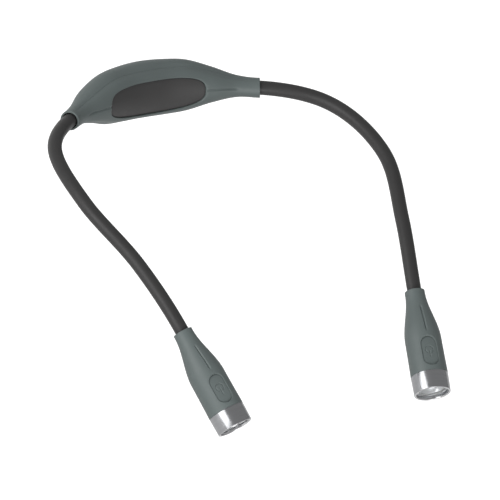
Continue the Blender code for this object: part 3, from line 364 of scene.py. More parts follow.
class Skin:
    """Rows of points with faces between them, gathered into one closed piece."""

    def __init__(self):
        self.shape = bmesh.new()
        self.layer = self.shape.loops.layers.uv.new("UVMap")

    def row(self, points):
        return [self.shape.verts.new(point) for point in points]

    def face(self, corners):
        if len(set(corners)) == len(corners):
            self.shape.faces.new(corners)

    def span(self, near, far, closed=True):
        count = len(near)
        for i in range(count if closed else count - 1):
            j = (i + 1) % count
            self.face((near[i], near[j], far[j], far[i]))

    def rows(self, rings):
        made = [self.row(ring) for ring in rings]
        for near, far in zip(made, made[1:]):
            self.span(near, far)
        return made

    def fan(self, ring, centre):
        middle = self.shape.verts.new(centre)
        for i in range(len(ring)):
            self.face((ring[i], ring[(i + 1) % len(ring)], middle))

    def wrap(self):
        """Give each corner a UV of its turn round Z and its place along it, with no jump at the seam."""
        for face in self.shape.faces:
            points = [loop.vert.co for loop in face.loops]
            marks = [(math.atan2(point.y, point.x) / math.tau, point.z) for point in points]
            first = marks[0][0]
            for loop, (around, along) in zip(face.loops, marks):
                loop[self.layer].uv = (around - round(around - first), along)

    def piece(self, name, matrix, finish, merge=True):
        """Close the work: an object with its faces turned outward, moved by the matrix."""
        if merge:
            bmesh.ops.remove_doubles(self.shape, verts=self.shape.verts, dist=MERGE_DISTANCE)
        bmesh.ops.recalc_face_normals(self.shape, faces=self.shape.faces)
        if self.shape.calc_volume(signed=True) < 0:
            bmesh.ops.reverse_faces(self.shape, faces=self.shape.faces)
        mesh = bpy.data.meshes.new(name)
        self.shape.to_mesh(mesh)
        self.shape.free()
        mesh.transform(matrix)
        mesh.materials.append(finish)
        mesh.shade_smooth()
        mesh.set_sharp_from_angle(angle=SHARP_ANGLE)
        return new_object(name, mesh)


def filleted(outline, radii):
    """Outline of (radius, along) corners with each corner rounded by its own radius."""
    points = []
    count = len(outline)
    for i, radius in enumerate(radii):
        corner = Vector(outline[i])
        if radius == 0:
            points.append(corner)
            continue
        before = (Vector(outline[i - 1]) - corner).normalized()
        after = (Vector(outline[(i + 1) % count]) - corner).normalized()
        half = before.angle(after) / 2
        middle = corner + (before + after).normalized() * (radius / math.sin(half))
        inward = (corner - middle).normalized()
        side = Vector((-inward.y, inward.x))
        if side.dot(before) < 0:
            side.negate()
        sweep = math.pi / 2 - half
        for step in range(FILLET_STEPS + 1):
            turn = mix(sweep, -sweep, step / FILLET_STEPS)
            points.append(middle + (inward * math.cos(turn) + side * math.sin(turn)) * radius)
    return [(p.x, p.y) for p in points]


def turned(name, outline, matrix, finish, sides=HEAD_SIDES, closed=True):
    """Spin an outline round Z into a closed piece."""
    skin = Skin()
    turns = full_turn(sides)
    made = skin.rows([[on_round(radius, turn, along) for turn in turns] for radius, along in outline])
    if closed:
        skin.span(made[-1], made[0])
    skin.wrap()
    return skin.piece(name, matrix, finish)


# Shader groups

VALUE = "NodeSocketFloat"
VECTOR = "NodeSocketVector"
COLOUR = "NodeSocketColor"


def shader_group(name, inputs, outputs):
    """Empty node group with named sockets; inputs hold (name, kind, value)."""
    tree = bpy.data.node_groups.new(name, "ShaderNodeTree")
    for title, kind, value in inputs:
        socket = tree.interface.new_socket(title, in_out="INPUT", socket_type=kind)
        if value is not None:
            socket.default_value = value
    for title, kind in outputs:
        tree.interface.new_socket(title, in_out="OUTPUT", socket_type=kind)
    return tree, tree.nodes.new("NodeGroupInput"), tree.nodes.new("NodeGroupOutput")


def add_node(tree, kind, links=None, **settings):
    """Node with its settings and linked or plain inputs, given by name or index."""
    made = tree.nodes.new(kind)
    for title, value in settings.items():
        setattr(made, title, value)
    for title, value in (links or {}).items():
        if isinstance(value, bpy.types.NodeSocket):
            tree.links.new(value, made.inputs[title])
        else:
            made.inputs[title].default_value = value
    return made


def math_node(tree, operation, a, b=0.0, clamp=False):
    return add_node(tree, "ShaderNodeMath", {0: a, 1: b}, operation=operation, use_clamp=clamp).outputs[0]


def noise(tree, place, scale, detail, roughness=0.5):
    return add_node(tree, "ShaderNodeTexNoise", {"Vector": place, "Scale": scale, "Detail": detail,
                                                 "Roughness": roughness}).outputs["Fac"]


def mix_colour(tree, share, a, b):
    return add_node(tree, "ShaderNodeMix", {"Factor": share, "A": a, "B": b}, data_type="RGBA").outputs[2]


def make_grain():
    """Fine moulded texture: a height made of two sizes of noise and scattered pits."""
    tree, start, end = shader_group(
        "fine_grain", [("Vector", VECTOR, None), ("Scale", VALUE, 3000.0), ("Pits", VALUE, 0.3)],
        [("Height", VALUE)])
    place = start.outputs["Vector"]
    scale = start.outputs["Scale"]
    fine = noise(tree, place, scale, 3.0)
    coarse = noise(tree, place, math_node(tree, "MULTIPLY", scale, COARSE_SCALE), 2.0)
    cells = add_node(tree, "ShaderNodeTexVoronoi",
                     {"Vector": place, "Scale": math_node(tree, "MULTIPLY", scale, PIT_SCALE)})
    pit = math_node(tree, "SUBTRACT", PIT_REACH, cells.outputs["Distance"], clamp=True)
    pits = math_node(tree, "MULTIPLY", pit, start.outputs["Pits"])
    both = math_node(tree, "ADD", fine, math_node(tree, "MULTIPLY", coarse, COARSE_WEIGHT))
    tree.links.new(math_node(tree, "SUBTRACT", both, pits), end.inputs["Height"])
    return tree


def make_mottle():
    """Colour that drifts a little, with wide clouds and small specks."""
    tree, start, end = shader_group(
        "mottled_tone",
        [("Vector", VECTOR, None), ("Tone", COLOUR, (0.1, 0.1, 0.1, 1)),
         ("Dark", COLOUR, (0.08, 0.08, 0.08, 1)), ("Cloud Scale", VALUE, 60.0),
         ("Speck Scale", VALUE, 2500.0), ("Specks", VALUE, 0.2)],
        [("Color", COLOUR)])
    cloud = noise(tree, start.outputs["Vector"], start.outputs["Cloud Scale"], 4.0)
    speck = noise(tree, start.outputs["Vector"], start.outputs["Speck Scale"], 2.0)
    weighed = math_node(tree, "MULTIPLY", speck, start.outputs["Specks"])
    clouds = math_node(tree, "MULTIPLY", cloud, CLOUD_WEIGHT)
    total = math_node(tree, "ADD", clouds, weighed, clamp=True)
    tree.links.new(mix_colour(tree, total, start.outputs["Dark"], start.outputs["Tone"]), end.inputs["Color"])
    return tree


def make_handling():
    """Roughness that varies where hands and cloths have been."""
    tree, start, end = shader_group(
        "handled_surface",
        [("Vector", VECTOR, None), ("Scale", VALUE, HANDLING_SCALE), ("Low", VALUE, 0.4),
         ("High", VALUE, 0.55)],
        [("Roughness", VALUE)])
    cloud = noise(tree, start.outputs["Vector"], start.outputs["Scale"], 5.0, 0.6)
    low, high = HANDLING_LIMITS
    spread_out = add_node(tree, "ShaderNodeMapRange",
                          {"Value": cloud, "From Min": low, "From Max": high,
                           "To Min": start.outputs["Low"], "To Max": start.outputs["High"]})
    tree.links.new(spread_out.outputs["Result"], end.inputs["Roughness"])
    return tree


def make_lathe_lines():
    """Fine lines round a turned piece, and broad streaks, read from its UV: round and along."""
    tree, start, end = shader_group("lathe_lines", [("UV", VECTOR, None), ("Lines", VALUE, 12000.0)],
                                    [("Height", VALUE), ("Streak", VALUE)])
    parts = add_node(tree, "ShaderNodeSeparateXYZ", {0: start.outputs["UV"]})
    around = math_node(tree, "MULTIPLY", parts.outputs["X"], LATHE_TURN_SCALE)
    along = math_node(tree, "MULTIPLY", parts.outputs["Y"], start.outputs["Lines"])
    lines = add_node(tree, "ShaderNodeCombineXYZ", {"X": around, "Y": along})
    streaks = add_node(tree, "ShaderNodeCombineXYZ",
                       {"X": math_node(tree, "MULTIPLY", around, STREAK_SCALES[0]),
                        "Y": math_node(tree, "MULTIPLY", along, STREAK_SCALES[1])})
    tree.links.new(noise(tree, lines.outputs[0], 1.0, 3.0, 0.7), end.inputs["Height"])
    tree.links.new(noise(tree, streaks.outputs[0], 1.0, 2.0), end.inputs["Streak"])
    return tree


GRAIN = make_grain()
MOTTLE = make_mottle()
HANDLING = make_handling()
LATHE = make_lathe_lines()


def placed(tree, group, links):
    """One use of a shader group in a material, with its own values."""
    return add_node(tree, "ShaderNodeGroup", links, node_tree=group,
                    label=group.name.replace("_", " ")).outputs


def mottled(tree, place, tone, dark, cloud, speck, specks):
    return placed(tree, MOTTLE, {"Vector": place, "Tone": (*tone, 1), "Dark": (*dark, 1),
                                 "Cloud Scale": cloud, "Speck Scale": speck, "Specks": specks})["Color"]


def handled(tree, place, low, high, scale=HANDLING_SCALE):
    return placed(tree, HANDLING, {"Vector": place, "Scale": scale, "Low": low, "High": high})["Roughness"]


def blank_finish(name, metallic=0.0, **plain):
    """Material with its shader; plain holds the shader's fixed values."""
    made = bpy.data.materials.new(name)
    made.use_nodes = True
    shader = made.node_tree.nodes["Principled BSDF"]
    shader.inputs["Metallic"].default_value = metallic
    for title, value in plain.items():
        shader.inputs[title.replace("_", " ")].default_value = value
    return made, made.node_tree, shader


def plug(tree, shader, colour, roughness, height=None, depth=0.0):
    """Link a colour, a roughness and a height, as bump of the given depth, to a material's shader."""
    tree.links.new(colour, shader.inputs["Base Color"])
    tree.links.new(roughness, shader.inputs["Roughness"])
    if height is not None:
        bump = add_node(tree, "ShaderNodeBump", {"Height": height, "Distance": depth, "Strength": 1.0})
        tree.links.new(bump.outputs["Normal"], shader.inputs["Normal"])


def grained(name, tone, dark, rough, grain=3000.0, depth=0.00002, pits=0.3, cloud=60.0, specks=0.25,
            handling=HANDLING_SCALE, **plain):
    """Rubber, plastic or drawn metal with a fine grain, a drifting tone and handled roughness."""
    made, tree, shader = blank_finish(name, **plain)
    place = tree.nodes.new("ShaderNodeTexCoord").outputs["Object"]
    texture = placed(tree, GRAIN, {"Vector": place, "Scale": grain, "Pits": pits})
    plug(tree, shader, mottled(tree, place, tone, dark, cloud, grain * SPECK_SCALE, specks),
         handled(tree, place, *rough, handling), texture["Height"], depth)
    return made


def turned_metal(name, tone, dark, rough, lines=12000.0, depth=0.000004):
    """Metal with lathe lines round it and a slight drift of tone and polish."""
    made, tree, shader = blank_finish(name, metallic=1.0)
    coords = tree.nodes.new("ShaderNodeTexCoord").outputs
    lathe = placed(tree, LATHE, {"UV": coords["UV"], "Lines": lines})
    plug(tree, shader, mix_colour(tree, lathe["Streak"], (*dark, 1), (*tone, 1)),
         handled(tree, coords["Object"], *rough, POLISH_SCALE), lathe["Height"], depth)
    return made


def circuit_finish():
    """Green solder mask over copper tracks."""
    made, tree, shader = blank_finish("green_circuit_board")
    place = tree.nodes.new("ShaderNodeTexCoord").outputs["Object"]
    tracks = add_node(tree, "ShaderNodeTexBrick",
                      {"Vector": place, "Color1": (0.012, 0.085, 0.035, 1), "Color2": (0.014, 0.1, 0.04, 1),
                       "Mortar": (0.03, 0.17, 0.07, 1), "Scale": 420.0, "Mortar Size": 0.03,
                       "Bias": 0.2}).outputs
    plug(tree, shader, tracks["Color"], handled(tree, place, 0.25, 0.4, 400.0), tracks["Fac"], 0.00003)
    return made


def lens_finish():
    """Clear acrylic with faint handling marks."""
    made, tree, shader = blank_finish("clear_lens", Transmission_Weight=1.0, IOR=1.12)
    place = tree.nodes.new("ShaderNodeTexCoord").outputs["Object"]
    plug(tree, shader, mottled(tree, place, (0.97, 0.98, 0.99), (0.93, 0.95, 0.96), 120.0, 900.0, 0.3),
         handled(tree, place, 0.02, 0.07, 260.0))
    return made


RUBBER = grained("grey_green_soft_rubber", (0.108, 0.13, 0.128), (0.09, 0.109, 0.107), (0.46, 0.54),
                 grain=2600.0, depth=0.000016, pits=0.25, specks=0.3, Specular_IOR_Level=0.4)
ARM_RUBBER = grained("charcoal_sleeve_rubber", (0.036, 0.035, 0.035), (0.026, 0.0255, 0.0255), (0.42, 0.52),
                     grain=2000.0, depth=0.00003, pits=0.5, cloud=140.0, specks=0.5, Specular_IOR_Level=0.3)
DOOR_PLASTIC = grained("charcoal_door_plastic", (0.047, 0.046, 0.046), (0.037, 0.036, 0.036), (0.44, 0.54),
                       grain=4200.0, depth=0.00001, pits=0.15, Specular_IOR_Level=0.38)
BLACK_PLASTIC = grained("black_moulded_plastic", (0.022, 0.022, 0.024), (0.015, 0.015, 0.016), (0.4, 0.55),
                        grain=3600.0, depth=0.00002, pits=0.4)
SEAL_RUBBER = grained("milky_seal_silicone", (0.42, 0.42, 0.42), (0.34, 0.34, 0.345), (0.35, 0.5),
                      grain=5000.0, depth=0.00001)
CELL_WRAP = grained("battery_cell_wrap", (0.22, 0.23, 0.25), (0.16, 0.17, 0.185), (0.25, 0.38), grain=6000.0,
                    depth=0.000004, pits=0.05, metallic=0.55)
PHOSPHOR = grained("yellow_phosphor", (0.86, 0.74, 0.3), (0.78, 0.62, 0.2), (0.25, 0.35), grain=7000.0,
                   depth=0.000004)
ALUMINIUM = turned_metal("turned_satin_aluminium", (0.375, 0.38, 0.39), (0.3, 0.305, 0.315), (0.2, 0.27))
BRIGHT_BORE = turned_metal("bright_turned_bore", (0.64, 0.64, 0.65), (0.55, 0.555, 0.56), (0.2, 0.26))
MIRROR = turned_metal("satin_reflector", (0.85, 0.85, 0.85), (0.76, 0.76, 0.77), (0.28, 0.34),
                      lines=4000.0, depth=0.000002)
STEEL = grained("plain_steel", (0.56, 0.57, 0.59), (0.44, 0.45, 0.47), (0.28, 0.42), grain=5000.0,
                depth=0.000004, pits=0.1, cloud=300.0, specks=0.3, handling=500.0, metallic=1.0)
CIRCUIT = circuit_finish()
CLEAR_LENS = lens_finish()


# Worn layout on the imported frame

SLEEVE_WAY = direction(math.pi / 2 - SLEEVE_YAW, SLEEVE_PITCH)
HEAD_WAY = direction(-HEAD_YAW_IN, -HEAD_DIP)
HEAD_START = Vector((HALF_SPAN + ARM_OUT * HEAD_OUT_SHARE, -ARM_FORWARD, -ARM_DROP))


def spine_at(place):
    """Point on the housing's centre line and its direction, from 0 in the middle to 1 at a sleeve end."""
    end = Vector((HALF_SPAN, 0, 0))
    a = Vector((0, SPINE_BACK, 0))
    b = Vector((SPINE_EASE, SPINE_BACK, 0))
    c = end - SLEEVE_EASE * direction(math.pi / 2 - SLEEVE_YAW, 0)
    u = 1 - place
    point = a * u ** 3 + b * (3 * u * u * place) + c * (3 * u * place * place) + end * place ** 3
    along = (b - a) * (u * u) + (c - b) * (2 * u * place) + (end - c) * (place * place)
    point.z = HOUSING_RISE * read_shares(RISE_SHARES, place)
    return point, along.normalized()


class Route:
    """Centre line of the right arm, read by its length from the housing's mouth."""

    def __init__(self):
        knots = [Vector((HALF_SPAN, 0, 0))]
        for out, forward, drop in ARM_ROUTE_SHARES:
            knots.append(Vector((HALF_SPAN + out * ARM_OUT, -forward * ARM_FORWARD, -drop * ARM_DROP)))
        knots.append(HEAD_START)
        slopes = [SLEEVE_WAY]
        for before, here, after in zip(knots, knots[1:], knots[2:]):
            near = here - before
            far = after - here
            slopes.append((near.normalized() * far.length + far.normalized() * near.length)
                          / (near.length + far.length))
        slopes.append(HEAD_WAY)
        self.points = [spine_at(mix(ARM_ROOT_SHARE, 1.0, step / ROOT_STEPS))[0] for step in range(ROOT_STEPS)]
        for i in range(len(knots) - 1):
            stretch = (knots[i + 1] - knots[i]).length
            self.points += [hermite(knots[i], slopes[i] * stretch, knots[i + 1], slopes[i + 1] * stretch,
                                    step / ROUTE_STEPS) for step in range(ROUTE_STEPS)]
        self.points += [HEAD_START, HEAD_START + HEAD_WAY * (CARRIER_START + COLLAR_LENGTH)]
        steps = [far - near for near, far in zip(self.points, self.points[1:])]
        self.ways = [step.normalized() for step in steps]
        marks = [0.0, *itertools.accumulate(step.length for step in steps)]
        self.marks = [mark - marks[ROOT_STEPS] for mark in marks]
        self.length = self.marks[-2]

    def at(self, mark):
        """Point and direction at a length along the route."""
        last = len(self.ways) - 1
        i = min(max(bisect.bisect_left(self.marks, mark) - 1, 0), last)
        share = (mark - self.marks[i]) / (self.marks[i + 1] - self.marks[i])
        beside = min(max(i + (1 if share >= 0.5 else -1), 0), last)
        way = self.ways[i].lerp(self.ways[beside], abs(share - 0.5))
        return self.points[i].lerp(self.points[i + 1], share), way.normalized()


ROUTE = Route()


def worn_layout():
    """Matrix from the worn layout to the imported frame, read from the right shoulder joint."""
    shoulder = next(joint for joint in frame["joints"] if joint["name"] == "right_shoulder_spread")
    turn = axes_at(Vector(), Vector(shoulder["axis"]), Vector((1, 0, 0)))
    first_bend, _ = ROUTE.at(BEND_PLACE_SHARES[0] * ROUTE.length)
    return Matrix.Translation(Vector(shoulder["pos_m"]) - turn @ first_bend) @ turn


WORN = worn_layout()


# Housing surface


def groove_dip(across, along, start, end):
    """Depth of a V groove at a distance across it, fading out round its ends."""
    ends = min(along - start, end - along)
    fade = smooth((ends + GROOVE_RUNOUT) / (2 * GROOVE_RUNOUT))
    wall = max(0.0, 1 - abs(across) / (GROOVE_WIDTH / 2))
    return GROOVE_DEPTH * fade * wall


def cover_wall(place):
    """Wall of the housing's covers, which thins out to that of the sleeves."""
    taper = (abs(place) - WALL_TAPER_SHARE) / (1 - WALL_TAPER_SHARE)
    return mix(COVER_WALL, SLEEVE_RADIUS - SLEEVE_BORE, smooth(taper))


def housing_point(place, angle, inset=0.0, detail=1.0):
    """Point on the housing at a place from -1 to 1 along it and an angle round it, 0 at the back."""
    side = math.copysign(1, place)
    place = min(abs(place), 1.0)
    point, along = spine_at(place)
    back = Vector((-along.y, along.x, 0))
    half_depth = mix(SLEEVE_RADIUS, HOUSING_DEPTH / 2, read_shares(DEPTH_SHARES, place)) - inset
    half_height = mix(SLEEVE_RADIUS, HOUSING_HEIGHT / 2, read_shares(HEIGHT_SHARES, place)) - inset
    power = mix(SECTION_POWER, 1.0, place)
    a = half_depth * signed_power(math.cos(angle), power)
    b = half_height * signed_power(math.sin(angle), power)
    radius = math.hypot(a, b)
    from_parting = (abs(math.remainder(angle, math.tau)) - PARTING_ANGLE) / VALLEY_ANGLE
    fade_start, fade_end = VALLEY_FADE_SHARES
    faded = 1 - smooth((place - fade_start) / (fade_end - fade_start))
    dip = VALLEY_DEPTH * mix(1.0, VALLEY_END_SHARE, smooth(place)) * faded * math.exp(-from_parting ** 2)
    across = math.remainder(angle - math.pi, math.tau) * radius
    if abs(across) < GROOVE_WIDTH:
        dip += groove_dip(across, place * HALF_SPAN, *HOUSING_GROOVE)
    shrink = 1 - detail * dip / radius
    tilt = SECTION_TILT * (1 - place)
    out = shrink * (a * math.cos(tilt) - b * math.sin(tilt))
    up = shrink * (a * math.sin(tilt) + b * math.cos(tilt))
    point = point + back * out + UP * up
    return Vector((side * point.x, point.y, point.z))


# Battery bay: origin on the housing's middle, Z out towards the neck, Y up along the door
BAY_INVERSE = axes_at(spine_at(0.0)[0], direction(0, -SECTION_TILT), Vector((1, 0, 0))).inverted()


def surface_place(x, y, inset, detail):
    """Place and angle on the housing whose point lies at (x, y) in the battery bay's view."""
    place = x / HALF_SPAN
    angle = math.pi - y / (HOUSING_HEIGHT / 2)
    for _ in range(SEARCH_ROUNDS):
        here = BAY_INVERSE @ housing_point(place, angle, inset, detail)
        beside = BAY_INVERSE @ housing_point(place + SEARCH_STEP, angle, inset, detail)
        above = BAY_INVERSE @ housing_point(place, angle + SEARCH_STEP, inset, detail)
        by_place = (beside - here) / SEARCH_STEP
        by_angle = (above - here) / SEARCH_STEP
        miss_x = x - here.x
        miss_y = y - here.y
        scale = by_place.x * by_angle.y - by_angle.x * by_place.y
        place += (miss_x * by_angle.y - by_angle.x * miss_y) / scale
        angle += (by_place.x * miss_y - by_place.y * miss_x) / scale
    return place, angle


def door_curve(angle, clearance):
    """Point of the door's outline seen from the neck: squarer in its upper corners than in its lower ones."""
    x, y = math.cos(angle), math.sin(angle)
    tall, power = (DOOR_TOP, DOOR_TOP_POWER) if y > 0 else (DOOR_BOTTOM, DOOR_BOTTOM_POWER)
    reach = (abs(x) ** power + abs(y) ** power) ** (-1 / power)
    return (DOOR_LENGTH / 2 + clearance) * x * reach, (tall + clearance) * y * reach


def end_pull(length):
    """Share of the housing's half length that a short length at a sleeve mouth takes."""
    return length / (3 * SLEEVE_EASE)


def build_rear_cover():
    """Rear half of the housing, with fine edges along the valley and softer ones at the sleeve mouths."""
    limit = PARTING_ANGLE - SEAM_GAP / HOUSING_DEPTH
    straight = 1 - end_pull(SOFT_EDGE)
    stations = [(u * straight, 0.0) for u in spread(HOUSING_COLUMNS)]
    for pull, inset in round_over(SOFT_EDGE, EDGE_STEPS)[1:]:
        place = 1 - end_pull(pull)
        stations = [(-place, inset)] + stations + [(place, inset)]
    sections = []
    for place, inset in stations:
        radius = mix(HOUSING_DEPTH / 2, SLEEVE_RADIUS, smooth(abs(place)))
        reach = limit - SEAM_EDGE / radius
        edge = [(limit - pull / radius, inset + drop) for pull, drop in round_over(SEAM_EDGE, SEAM_STEPS)[1:]]
        section = [housing_point(place, v * reach, inset) for v in spread(REAR_ROWS)]
        section += [housing_point(place, angle, depth) for angle, depth in edge]
        section += [housing_point(place, -v * limit, cover_wall(place), 0.0) for v in spread(INNER_ROWS)]
        section += [housing_point(place, -angle, depth) for angle, depth in reversed(edge)]
        sections.append(section)
    skin = Skin()
    rows = skin.rows(sections)
    outer = REAR_ROWS + 1 + SEAM_STEPS
    for row in (rows[0], rows[-1]):
        close_section(skin, row[:outer], row[outer:])
    rear = skin.piece("rear_cover_skin", WORN, RUBBER, merge=False)
    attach(rear, "housing")
    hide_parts("rear_cover")


def close_section(skin, outer, inner):
    """Close the C-shaped end of a curved plate between its outer and inner points."""
    inner = inner[::-1]
    i = j = 0
    while i < len(outer) - 1 or j < len(inner) - 1:
        if (i + 1) / (len(outer) - 1) <= (j + 1) / max(len(inner) - 1, 1):
            skin.face((outer[i], outer[i + 1], inner[j]))
            i += 1
        else:
            skin.face((outer[i], inner[j + 1], inner[j]))
            j += 1


def build_neck_cover():
    """Neck-side half: rays run from the door's pocket to the parting lines and the sleeve mouths."""
    half_turn = math.pi - PARTING_ANGLE - SEAM_GAP / HOUSING_DEPTH
    end, flank = (POCKET_END_RAYS, RAY_CROWDING), (POCKET_SIDE_RAYS, 0.0)
    rays = quarter_rays(end, flank, end, flank)

    def rim(side, u, share):
        """Place and angle of a ray on the cover's own border, pulled in by a share of the edge's width."""
        along, around = on_square(side, u)
        half = half_turn - share * SEAM_EDGE / (HOUSING_DEPTH / 2)
        return along * (1 - share * end_pull(SOFT_EDGE)), math.pi - around * half

    def rim_edge(side, u):
        """Width of the rounded border: soft at the sleeve mouths, fine along the valley."""
        return SEAM_EDGE if side % 2 else mix(SOFT_EDGE, SEAM_EDGE, abs(u) ** RIM_EDGE_POWER)

    def hole(out, inset, detail):
        """Places and angles of the rays on the pocket's outline, widened by out."""
        outline = [door_curve((side + u / 2) * math.pi / 2, FIT_GAP + out) for side, u in rays]
        return [surface_place(x, y, inset, detail) for x, y in outline]

    def inner_point(place, angle):
        return housing_point(place, angle, cover_wall(place), 0.0)

    inner_rim = [rim(side, u, 0.0) for side, u in rays]
    inner_steps = [0.0] + even_steps(POCKET_INNER_RINGS)
    rings = rings_between(hole(0.0, COVER_WALL, 0.0), inner_rim, inner_steps[::-1], inner_point)
    for out, inset in reversed(round_over(POCKET_EDGE, POCKET_STEPS)):
        marks = hole(out, inset, 1.0)
        rings.append([housing_point(place, angle, inset) for place, angle in marks])
    outer_rim = [rim(side, u, 1.0) for side, u in rays]
    rings += rings_between(marks, outer_rim, even_steps(POCKET_RINGS), housing_point)
    for share, drop in round_over(1.0, EDGE_STEPS)[1:]:
        rings.append([housing_point(*rim(side, u, share), rim_edge(side, u) * drop) for side, u in rays])
    skin = Skin()
    rows = skin.rows(rings)
    skin.span(rows[-1], rows[0])
    neck = skin.piece("neck_cover_skin", WORN, RUBBER, merge=False)
    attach(neck, "housing")
    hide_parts("neck_cover")


def build_door():
    """Battery door: a slice of the housing's own curve with softened edges, sunk in its pocket."""
    turns = full_turn(DOOR_RAYS)

    def point(x, y, inset):
        return housing_point(*surface_place(x, y, inset, 0.0), inset, 0.0)

    def inner_ring(share, inset):
        return [point(x * share, y * share, inset) for x, y in (door_curve(turn, 0.0) for turn in turns)]

    def border(pull, inset):
        share_x, share_y = 1 - pull / (DOOR_LENGTH / 2), 1 - pull / DOOR_BOTTOM
        outline = [door_curve(turn, FIT_GAP - SEAM_EDGE) for turn in turns]
        return [point(x * share_x, y * share_y, inset) for x, y in outline]

    under = DOOR_SINK + DOOR_THICKNESS
    rings = [inner_ring(share, under) for share in DOOR_UNDER_SHARES] + [border(0.0, under)]
    for pull, drop in reversed(round_over(SOFT_EDGE, EDGE_STEPS)):
        rings.append(border(pull, DOOR_SINK + drop))
    widest, narrowest = DOOR_FACE_SHARES
    shares = [widest * (1 - k / DOOR_FACE_RINGS) for k in range(DOOR_FACE_RINGS)] + [narrowest]
    rings += [inner_ring(share, DOOR_SINK) for share in shares]
    skin = Skin()
    rows = skin.rows(rings)
    skin.fan(rows[0], point(0.0, 0.0, under))
    skin.fan(rows[-1], point(0.0, 0.0, DOOR_SINK))
    door = skin.piece("battery_door_panel", WORN, DOOR_PLASTIC, merge=False)
    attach(door, "battery_door")
    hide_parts("battery_door")


# Arms


def tube_rings(side, start, end, radius, sides):
    steps = max(2, math.ceil((end - start) / ARM_RING_STEP))
    turns = full_turn(sides)
    rings = []
    for i in range(steps + 1):
        point, way = (mirrored(value, side) for value in ROUTE.at(mix(start, end, i / steps)))
        across = way.cross(UP).normalized()
        rise = across.cross(way)
        rings.append([point + across * (radius * math.cos(a)) + rise * (radius * math.sin(a)) for a in turns])
    return rings


def build_arm(side, label):
    """Four sleeve stretches, each spanning one joint, that meet in the stiff middles between joints."""
    places = [share * ROUTE.length for share in BEND_PLACE_SHARES]
    seams = [-SLEEVE_DEPTH] + [(a + b) / 2 for a, b in zip(places, places[1:])]
    seams.append(ROUTE.length + SLEEVE_DEPTH)
    core_start = -SLEEVE_DEPTH - FIT_GAP - COLLAR_LENGTH - CORE_TAIL
    core_end = ROUTE.length + CARRIER_START + CARRIER_WALL / 2 + COLLAR_LENGTH / 2 + CORE_TAIL
    covered = ((label + "_arm_bend_1",), (label + "_arm_upper", label + "_arm_bend_2"),
               (label + "_arm_lower", label + "_arm_bend_3"), (label + "_arm_link", label + "_arm_bend_4"))
    for i, (place, reach) in enumerate(zip(places, BEND_REACHES)):
        bend = [WORN @ mirrored(ROUTE.at(place + way * reach)[0], side) for way in (-1, 1)]
        outer = tube_rings(side, seams[i], seams[i + 1], ARM_RADIUS, ARM_SIDES)
        inner = tube_rings(side, seams[i], seams[i + 1], ARM_RADIUS - ARM_WALL, ARM_SIDES)
        skin = Skin()
        rows = skin.rows(outer + inner[::-1])
        skin.span(rows[-1], rows[0])
        sleeve = skin.piece(f"{label}_sleeve_{i + 1}", WORN, ARM_RUBBER, merge=False)
        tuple(bend[0])
        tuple(bend[1])
        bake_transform(sleeve)
        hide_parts(*covered[i])
        start = core_start if i == 0 else seams[i]
        end = core_end if i == len(places) - 1 else seams[i + 1]
        rings = tube_rings(side, start, end, CORE_DIAMETER / 2, CORE_SIDES)
        skin = Skin()
        rows = skin.rows(rings)
        skin.face(tuple(rows[0]))
        skin.face(tuple(rows[-1]))
        core = skin.piece(f"{label}_core_{i + 1}", WORN, STEEL, merge=False)
        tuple(bend[0])
        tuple(bend[1])
        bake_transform(core)
        if i == 0:
            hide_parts(label + "_arm_core")


# Lamp heads


def head_radius(along):
    """Radius of a head's rubber: a shoulder that swells from the sleeve, then a slight flare."""
    swell = smooth((along - SHOULDER_START) / SHOULDER_LENGTH)
    flare = smooth((along - SHOULDER_START - SHOULDER_LENGTH) / SHELL_LENGTH) * BARREL_FLARE * 2
    return mix(SLEEVE_RADIUS, BARREL_DIAMETER / 2, swell) + flare


def shell_bore(along):
    if along < CARRIER_BACK:
        return SLEEVE_BORE
    return min(head_radius(along) - HEAD_WALL, SKIRT_RADIUS + FIT_GAP)


def stadium_ray(side, u, length, width):
    """Point (along, across) of a ray on a button outline: front end, one side, back end, other side."""
    radius = width / 2
    straight = length / 2 - radius
    along, across = on_square(side, u)
    if side % 2:
        return along * straight, across * radius
    bend = across * math.pi / 2
    return along * (straight + radius * math.cos(bend)), radius * math.sin(bend)


def shell_point(along, angle, inset=0.0):
    """Point on the head's rubber at a place along it and an angle from the button's middle."""
    radius = head_radius(along) - inset
    across = angle * radius
    if abs(across) < GROOVE_WIDTH:
        radius -= groove_dip(across, along, *HEAD_GROOVE)
    return on_round(radius, angle, along)


